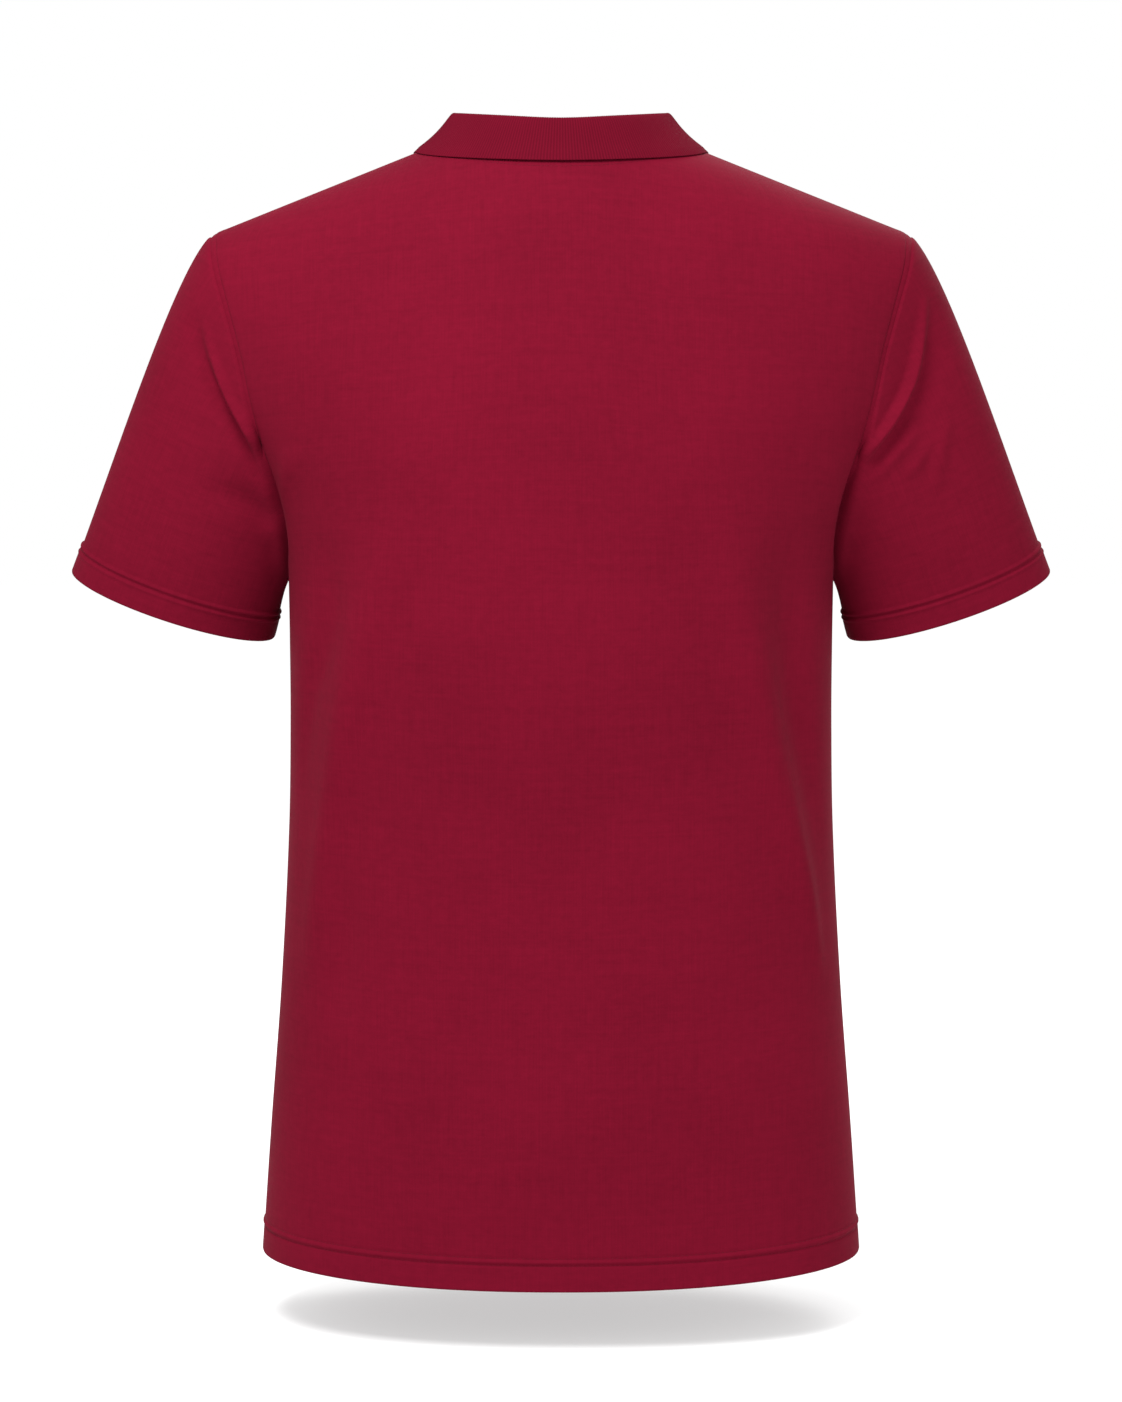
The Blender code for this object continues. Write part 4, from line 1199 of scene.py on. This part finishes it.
def level_path(surface, distance):
    """The path along a surface at a distance up from its hem."""
    index = np.argmax(surface.heights > distance, axis=0)
    columns = np.arange(surface.points.shape[1])
    low = surface.heights[index - 1, columns]
    high = surface.heights[index, columns]
    share = ((distance - low) / (high - low))[:, None]
    points = mix(surface.points[index - 1, columns], surface.points[index, columns], share)
    normals = unit(mix(surface.normals[index - 1, columns], surface.normals[index, columns], share))
    return points, normals


def settle(piece, nodes):
    """Ride a piece on the shirt and hide the solids that it takes the place of."""
    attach(piece, BODY)
    if nodes:
        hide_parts(*nodes)


Sheet = namedtuple("Sheet", "piece held shaped rests_on with_pieces")
SHEETS = (
    Sheet("back_panel", "hung", True, (), ("hem_stitches", "neck_stitches")),
    Sheet("front_panel", "hung", True, (), ()),
    Sheet("left_sleeve", "hung", True, ("back_panel", "front_panel"), ("left_cuff_stitches",)),
    Sheet("right_sleeve", "hung", True, ("back_panel", "front_panel"), ("right_cuff_stitches",)),
    Sheet("ribbed_collar", "folded", False, ("back_panel", "front_panel"), ()),
    Sheet("under_strip", "hung", False, ("front_panel",), ()),
    Sheet("upper_strip", "laid", False, ("front_panel",), ("placket_stitches", "buttonhole_stitches")),
)

PANELS = ("back_panel", "front_panel")


def declare_sheets():
    """Measure each piece of cloth's outside, and keep nothing: its points laid on the plane square to the
    way from its hem to its top, the rows below a panel's armholes, since its top rows bend round the neck,
    and the areas of its cells, the front's opening above the placket left out.
    """
    for sheet in SHEETS:
        points = SURFACES[sheet.piece].points
        axis = unit(points[-1].mean(axis=0) - points[0].mean(axis=0)) * float(sheet.shaped)
        level = points - (points @ axis)[..., None] * axis
        below_armholes = len(points) // 2 if sheet.piece in PANELS else len(points)
        crossed = np.cross(points[1:, 1:] - points[:-1, :-1], points[1:, :-1] - points[:-1, 1:])
        areas = np.linalg.norm(crossed, axis=-1) / 2.0
        if sheet.piece == "front_panel":
            middle = np.abs(points[:-1, :-1, 0] + points[1:, 1:, 0]) / 2.0 < OPENING_HALF_WIDTH
            areas[middle & (points[1:, 1:, 2] > PLACKET_FOOT)] = 0.0


def length_setting(name, description, default, low, high):
    return bpy.props.FloatProperty(name=name, description=description, default=default * MM, min=low * MM,
                                   max=high * MM, unit="LENGTH", precision=5)


def share_setting(name, description, default):
    return bpy.props.FloatProperty(name=name, description=description, default=default, min=0.0, max=1.0,
                                   subtype="FACTOR")


def colour_setting(name, description, default):
    return bpy.props.FloatVectorProperty(name=name, description=description, default=default, min=0.0,
                                         max=1.0, size=3, subtype="COLOR")


def power_setting(name, description, default):
    return bpy.props.FloatProperty(name=name, description=description, default=default, min=0.0, max=500.0,
                                   unit="POWER")


class PoloClothSettings(bpy.types.PropertyGroup):
    colour: colour_setting("Cloth Colour", "Colour of the dyed knit", (0.1275, 0.0030, 0.0138))
    button_colour: colour_setting("Button Colour", "Colour of the dyed buttons", (0.110, 0.0028, 0.0115))
    sheen_colour: colour_setting("Sheen Colour", "Tint of the soft nap on the knit", (1.0, 0.30, 0.38))
    sheen: share_setting("Sheen", "Strength of the soft nap", 0.012)
    roughness: share_setting("Roughness", "Roughness of the knit", 0.86)
    relief: share_setting("Knit Relief", "Strength of the stitches' relief", 0.35)
    wale_pitch: length_setting("Wale Pitch", "Width of one column of knit stitches", 0.95, 0.2, 5.0)
    course_pitch: length_setting("Course Pitch", "Height of one row of knit stitches", 0.72, 0.2, 5.0)
    rib_pitch: length_setting("Rib Pitch", "Distance between the collar's ribs", 1.7, 0.5, 8.0)
    rib_height: length_setting("Rib Height", "Height of the collar's ribs", 0.30, 0.0, 2.0)


class PoloStitchSettings(bpy.types.PropertyGroup):
    pitch: length_setting("Stitch Pitch", "Distance from one stitch to the next", 2.9, 0.5, 8.0)
    length: length_setting("Stitch Length", "Length of thread that shows in one stitch", 2.5, 0.3, 8.0)
    width: length_setting("Thread Width", "Thickness of the sewing thread", 0.42, 0.1, 2.0)


class PoloStudioSettings(bpy.types.PropertyGroup):
    world: bpy.props.FloatProperty(
        name="Surrounding Light", description="Strength of the white surroundings", default=1.0,
        min=0.0, max=5.0)
    key: power_setting("Key Light", "Power of the large soft light", 52.0)
    fill: power_setting("Fill Light", "Power of the light on the other side", 8.0)
    floor_gap: length_setting("Floor Gap", "Distance from the hem down to the floor", 40.0, 0.0, 1000.0)


class OBJECT_OT_polo_body(bpy.types.Operator):
    """Model the back and front panels"""
    bl_idname = "object.polo_body"
    bl_label = "Add Back and Front"

    def execute(self, context):
        cloth = material_of("knit_cloth", knit_material, context.scene.polo_cloth)
        for name, node, side, creases in (("back_panel", "back", BACK, BACK_CREASES),
                                          ("front_panel", "front", FRONT, FRONT_CREASES)):
            made, SURFACES[name] = body_panel(name, side, creases, cloth)
            settle(made, [node])
        return {"FINISHED"}


class OBJECT_OT_polo_sleeves(bpy.types.Operator):
    """Model both sleeves"""
    bl_idname = "object.polo_sleeves"
    bl_label = "Add Sleeves"

    def execute(self, context):
        cloth = material_of("knit_cloth", knit_material, context.scene.polo_cloth)
        for name, node, right, creases in (("left_sleeve", "sleeve_left", False, LEFT_SLEEVE_CREASES),
                                           ("right_sleeve", "sleeve_right", True, RIGHT_SLEEVE_CREASES)):
            made, SURFACES[name] = sleeve(name, creases, right, cloth)
            settle(made, [node])
        return {"FINISHED"}


class OBJECT_OT_polo_collar(bpy.types.Operator):
    """Model the ribbed collar"""
    bl_idname = "object.polo_collar"
    bl_label = "Add Collar"

    def execute(self, context):
        look = context.scene.polo_cloth
        knit = material_of("rib_knit", rib_material, look)
        base, SURFACES["ribbed_collar"] = collar(knit, look.rib_pitch)
        mesh = base.data
        wale = np.zeros(len(mesh.vertices))
        index = np.empty(len(mesh.loops), int)
        mesh.loops.foreach_get("vertex_index", index)
        places = np.empty(len(mesh.loops) * 2)
        mesh.uv_layers["cloth"].uv.foreach_get("vector", places)
        sides = np.arange(len(mesh.loops)) < len(mesh.loops) - END_CAP_LOOPS
        wale[index[sides]] = places.reshape(-1, 2)[sides, 0]
        mesh.attributes.new("wale", "FLOAT", "POINT").data.foreach_set("value", wale)
        sizes = {"Rib Pitch": look.rib_pitch, "Rib Height": look.rib_height, "Rib Knit": knit}
        made = grown(base, tree_named("rib_strip", rib_tree), sizes, "ribbed_collar")
        settle(made, ["collar"])
        return {"FINISHED"}


def placket_strip(name, half_width, low_rise, offset, finish):
    """A strip over the front's opening, made from the front's points and moved out by an offset."""
    edges = low_rise + np.array(EDGE_STEPS) / PLACKET_RUN
    rises = np.concatenate((edges, np.linspace(edges[-1], PLACKET_TOP, PLACKET_ROWS)[1:]))
    spine = body_points(FRONT, 0.0, 1.0 + rises)
    out = unit(np.cross(np.gradient(spine, axis=0), (1.0, 0.0, 0.0)))
    out = out * -np.sign(out[:, 1:2])
    edge = np.array(EDGE_STEPS[:-1])
    half = np.concatenate((half_width - edge, np.linspace(half_width - edge[-1], 0.0, PLACKET_COLUMNS)[1:]))
    x = np.concatenate((-half, half[-2::-1]))
    inset = (half_width - np.abs(x))[None, :]
    up = run_lengths(spine, 0)[:, None]
    relief = 0.0
    for depth, width, place in ((PLACKET_ROLL, PLACKET_ROLL_WIDTH, 0.0),
                                (PLACKET_GROOVE, PLACKET_GROOVE_WIDTH, PLACKET_INSET)):
        relief = relief - depth * (bell(inset - place, width) + bell(up - place, width))
    x, up, y, z = np.broadcast_arrays(x[None, :], up, spine[:, 1:2], spine[:, 2:3])
    points = np.stack((x, y, z), axis=-1)
    normals = np.broadcast_to(out[:, None, :], points.shape)
    shown = points + normals * (offset + PLACKET_WALL + relief)[..., None]
    uv = np.stack((x, up), axis=-1)
    made = shell(name, shown[:, ::-1], normals[:, ::-1], PLACKET_WALL, uv[:, ::-1], finish)
    return made, Surface(shown, normals, up)


class OBJECT_OT_polo_placket(bpy.types.Operator):
    """Model the placket's two strips"""
    bl_idname = "object.polo_placket"
    bl_label = "Add Placket"

    def execute(self, context):
        cloth = material_of("knit_cloth", knit_material, context.scene.polo_cloth)
        for name, node, half_width, low_rise, offset in (
                ("under_strip", "placket_under", OPENING_HALF_WIDTH - SEAM_GAP,
                 PLACKET_RISE + SEAM_GAP / NECK_TO_ARMPIT, -PLACKET_WALL),
                ("upper_strip", "placket_over", PLACKET_HALF_WIDTH,
                 PLACKET_RISE - PLACKET_OVERRUN / NECK_TO_ARMPIT, SEAM_GAP)):
            made, SURFACES[name] = placket_strip(name, half_width, low_rise, offset, cloth)
            settle(made, [node])
        return {"FINISHED"}


def button_seat(height):
    """Where a button lies: its middle and its outward direction."""
    lift = (height - ARMPIT_HEIGHT) / NECK_TO_ARMPIT
    spine = body_points(FRONT, 0.0, 1.0 + lift + np.array((-0.002, 0.0, 0.002)))
    up = spine[2] - spine[0]
    out = unit(np.array((0.0, -up[2], up[1])))
    seat = spine[1] + out * (PLACKET_WALL + 2.0 * SEAM_GAP)
    seat[0] = 0.0
    return seat, out, unit(up * np.array((0.0, 1.0, 1.0)))


def turned_button(name, seat, out, up, finish):
    """A turned button with four holes drilled through it."""
    sideways = np.cross(up, out)
    mesh = bmesh.new()
    rings = []
    for turn in BUTTON_PROFILE:
        count = BUTTON_SIDES if turn.radius > 0.0 else 1
        angles = [2.0 * math.pi * step / count for step in range(count)]
        ways = [sideways * math.cos(angle) + up * math.sin(angle) for angle in angles]
        middle = seat + out * turn.rise
        rings.append([mesh.verts.new(middle + way * turn.radius * BUTTON_RADIUS) for way in ways])
    for low, high in zip(rings, rings[1:]):
        for step in range(BUTTON_SIDES):
            after = (step + 1) % BUTTON_SIDES
            if len(low) == 1:
                mesh.faces.new((low[0], high[after], high[step]))
            elif len(high) == 1:
                mesh.faces.new((low[step], low[after], high[0]))
            else:
                mesh.faces.new((low[step], low[after], high[after], high[step]))
    bmesh.ops.recalc_face_normals(mesh, faces=mesh.faces)
    data = bpy.data.meshes.new(name)
    mesh.to_mesh(data)
    mesh.free()
    made = finished(name, data, finish)
    drill = bmesh.new()
    turn = Matrix((sideways, up, out)).transposed().to_4x4()
    for x, z in ((1, 1), (1, -1), (-1, 1), (-1, -1)):
        middle = seat + (sideways * x + up * z) * BUTTON_HOLE_PLACE + out * MM
        bmesh.ops.create_cone(drill, cap_ends=True, segments=BUTTON_HOLE_SIDES, radius1=BUTTON_HOLE_RADIUS,
                              radius2=BUTTON_HOLE_RADIUS, depth=BUTTON_DRILL,
                              matrix=Matrix.Translation(middle) @ turn)
    bmesh.ops.recalc_face_normals(drill, faces=drill.faces)
    drill_data = bpy.data.meshes.new(name + "_drill")
    drill.to_mesh(drill_data)
    drill.free()
    drill_data.materials.append(finish)
    cutter = placed(name + "_drill", drill_data)
    cut = made.modifiers.new("holes", "BOOLEAN")
    cut.operation = "DIFFERENCE"
    cut.solver = "EXACT"
    cut.object = cutter
    bpy.context.view_layer.update()
    result = bpy.data.meshes.new_from_object(made.evaluated_get(bpy.context.evaluated_depsgraph_get()))
    made.modifiers.clear()
    made.data = result
    result.set_sharp_from_angle(angle=BUTTON_SHARP)
    bpy.data.objects.remove(cutter, do_unlink=True)
    return made


class OBJECT_OT_polo_buttons(bpy.types.Operator):
    """Model the buttons with the thread through their holes"""
    bl_idname = "object.polo_buttons"
    bl_label = "Add Buttons"

    def execute(self, context):
        look = context.scene.polo_cloth
        plastic = material_of("button_resin", button_material, look)
        thread = material_of("sewing_thread", thread_material, look)
        for number, height in enumerate(BUTTON_HEIGHTS, start=1):
            seat, out, up = button_seat(height)
            made = turned_button(f"turned_button_{number}", seat, out, up, plastic)
            settle(made, [f"button_{number}"])
            sideways = np.cross(up, out)
            paths = []
            for side in (-1.0, 1.0):
                for strand in BUTTON_STRANDS:
                    spread = strand * BUTTON_HOLE_RADIUS * BUTTON_STRAND_SPREAD
                    middle = seat + sideways * (side * BUTTON_HOLE_PLACE + spread) + out * BUTTON_THREAD_RISE
                    reach = BUTTON_HOLE_PLACE + 0.5 * BUTTON_HOLE_RADIUS
                    ends = [middle + up * end * reach for end in (-1.0, 1.0)]
                    paths.append((np.array(ends), np.array((out, out))))
            length = 2.0 * BUTTON_HOLE_PLACE + 1.3 * BUTTON_HOLE_RADIUS
            sewn = stitched(f"button_thread_{number}", paths, 2.0 * length, length, BUTTON_THREAD_WIDTH, 0.0,
                            thread)
            settle(sewn, [])
        return {"FINISHED"}


def buttonhole_paths(height):
    """The bars of thread across both long sides of a buttonhole."""
    seat, out, up = button_seat(height)
    sideways = np.cross(up, out)
    base = seat - out * SEAM_GAP
    paths = []
    for side in (-1.0, 1.0):
        for step in np.arange(-BUTTONHOLE_REACH, BUTTONHOLE_REACH, BUTTONHOLE_STEP):
            ends = [base + sideways * side * near + up * step for near in BUTTONHOLE_BAR]
            paths.append((np.array(ends), np.array((out, out))))
    return paths


class OBJECT_OT_polo_stitches(bpy.types.Operator):
    """Sew the hems, the back of the neck and the placket"""
    bl_idname = "object.polo_stitches"
    bl_label = "Add Stitches"

    def execute(self, context):
        sewing = context.scene.polo_stitches
        thread = material_of("sewing_thread", thread_material, context.scene.polo_cloth)
        sizes = (sewing.pitch, sewing.length, sewing.width, STITCH_LIFT, thread)
        for name, pieces, rows in (("hem_stitches", ("back_panel", "front_panel"), BODY_HEM),
                                   ("left_cuff_stitches", ("left_sleeve",), CUFF_HEM),
                                   ("right_cuff_stitches", ("right_sleeve",), CUFF_HEM)):
            paths = [level_path(SURFACES[piece], row) for piece in pieces for row in rows]
            settle(stitched(name, paths, *sizes), [])
        for name, paths in (("neck_stitches", [neck_path()]), ("placket_stitches", placket_paths())):
            settle(stitched(name, paths, *sizes), [])
        bars = [path for height in BUTTON_HEIGHTS for path in buttonhole_paths(height)]
        settle(stitched("buttonhole_stitches", bars, *BAR_STITCH, thread), [])
        return {"FINISHED"}


def neck_path():
    """The row of stitches round the back of the neck, most of it under the collar."""
    surface = SURFACES["back_panel"]
    lengths = run_lengths(surface.points[::-1], 0)[::-1]
    inside = np.abs(surface.points[-1, :, 0]) < NECK_STITCH_REACH
    points, normals = [], []
    for column in np.flatnonzero(inside):
        row = np.argmin(np.abs(lengths[:, column] - NECK_STITCH_DROP))
        near = slice(row - 2, row + 3)
        down = lengths[near, column][::-1]
        points.append(read_along(NECK_STITCH_DROP, down, surface.points[near, column][::-1]))
        normals.append(surface.normals[row, column])
    return np.array(points), np.array(normals)


def placket_paths():
    """Rows of stitches just inside the upper strip's edges, with a box at its foot."""
    surface = SURFACES["upper_strip"]
    inset = PLACKET_INSET
    x = surface.points[0, :, 0]
    paths = []
    first = np.argmax(surface.heights[:, 0] > inset)
    for reach in (-PLACKET_HALF_WIDTH + inset, PLACKET_HALF_WIDTH - inset):
        column = np.argmin(np.abs(x - reach))
        points = surface.points[first:-1, column].copy()
        points[:, 0] = reach
        paths.append((points, surface.normals[first:-1, column]))
    for up in (inset, 2.0 * PLACKET_OVERRUN + inset):
        row = np.argmin(np.abs(surface.heights[:, 0] - up))
        inside = np.abs(x) <= PLACKET_HALF_WIDTH - inset + 1e-6
        paths.append((surface.points[row, inside], surface.normals[row, inside]))
    return paths


class OBJECT_OT_polo_stage(bpy.types.Operator):
    """Add the pale floor, the soft lights and the camera"""
    bl_idname = "object.polo_stage"
    bl_label = "Add Stage"

    def execute(self, context):
        scene = context.scene
        studio = scene.polo_studio
        scene.view_settings.view_transform = "Standard"
        scene.world = bpy.data.worlds.new("studio")
        scene.world.use_nodes = True
        background = scene.world.node_tree.nodes["Background"]
        background.inputs["Color"].default_value = WHITE
        background.inputs["Strength"].default_value = studio.world
        height = CAD_BOX[0][2] - studio.floor_gap
        corners = [(x * FLOOR_REACH, y * FLOOR_REACH, height)
                   for x, y in ((-1, -1), (1, -1), (1, 1), (-1, 1))]
        mesh = bpy.data.meshes.new("studio_floor")
        mesh.from_pydata(corners, [], [(0, 1, 2, 3)])
        finished("studio_floor", mesh, floor_material())
        for light in SOFT_LIGHTS:
            data = bpy.data.lights.new(light.name, "AREA")
            data.shape = "SQUARE"
            data.size = light.size
            data.energy = getattr(studio, light.setting) * light.share
            aim_at(bpy.data.objects.new(light.name, data), light.place, light.aim)
        lens = bpy.data.cameras.new("photo_camera")
        lens.sensor_width = 36.0
        lens.lens = CAMERA_LENS
        scene.camera = aim_at(bpy.data.objects.new("photo_camera", lens), CAMERA_PLACE, CAMERA_AIM)
        return {"FINISHED"}


def aim_at(made, place, aim):
    """Put a light or the camera in its place and turn it to what it faces."""
    made.location = place
    made.rotation_euler = (Vector(aim) - Vector(place)).to_track_quat("-Z", "Y").to_euler()
    bpy.context.collection.objects.link(made)
    return made


class VIEW3D_PT_polo_shirt(bpy.types.Panel):
    bl_idname = "VIEW3D_PT_polo_shirt"
    bl_label = "Polo Shirt"
    bl_space_type = "VIEW_3D"
    bl_region_type = "UI"
    bl_category = "Polo Shirt"

    def draw(self, context):
        scene = context.scene
        for group in (scene.polo_cloth, scene.polo_stitches, scene.polo_studio):
            box = self.layout.box()
            for name in group.__annotations__:
                box.prop(group, name)
        for operator in PIECES:
            self.layout.operator(operator.bl_idname)


PIECES = (OBJECT_OT_polo_body, OBJECT_OT_polo_sleeves, OBJECT_OT_polo_collar, OBJECT_OT_polo_placket,
          OBJECT_OT_polo_buttons, OBJECT_OT_polo_stitches, OBJECT_OT_polo_stage)
SETTINGS = (("polo_cloth", PoloClothSettings), ("polo_stitches", PoloStitchSettings),
            ("polo_studio", PoloStudioSettings))


def register():
    for name, group in SETTINGS:
        bpy.utils.register_class(group)
        setattr(bpy.types.Scene, name, bpy.props.PointerProperty(type=group))
    for operator in PIECES:
        bpy.utils.register_class(operator)
    bpy.utils.register_class(VIEW3D_PT_polo_shirt)


def unregister():
    bpy.utils.unregister_class(VIEW3D_PT_polo_shirt)
    for operator in reversed(PIECES):
        bpy.utils.unregister_class(operator)
    for name, group in reversed(SETTINGS):
        delattr(bpy.types.Scene, name)
        bpy.utils.unregister_class(group)


def main():
    register()
    bpy.ops.object.polo_body()
    bpy.ops.object.polo_sleeves()
    bpy.ops.object.polo_collar()
    bpy.ops.object.polo_placket()
    bpy.ops.object.polo_buttons()
    bpy.ops.object.polo_stitches()
    bpy.ops.object.polo_stage()
    declare_sheets()


if __name__ == "__main__":
    main()
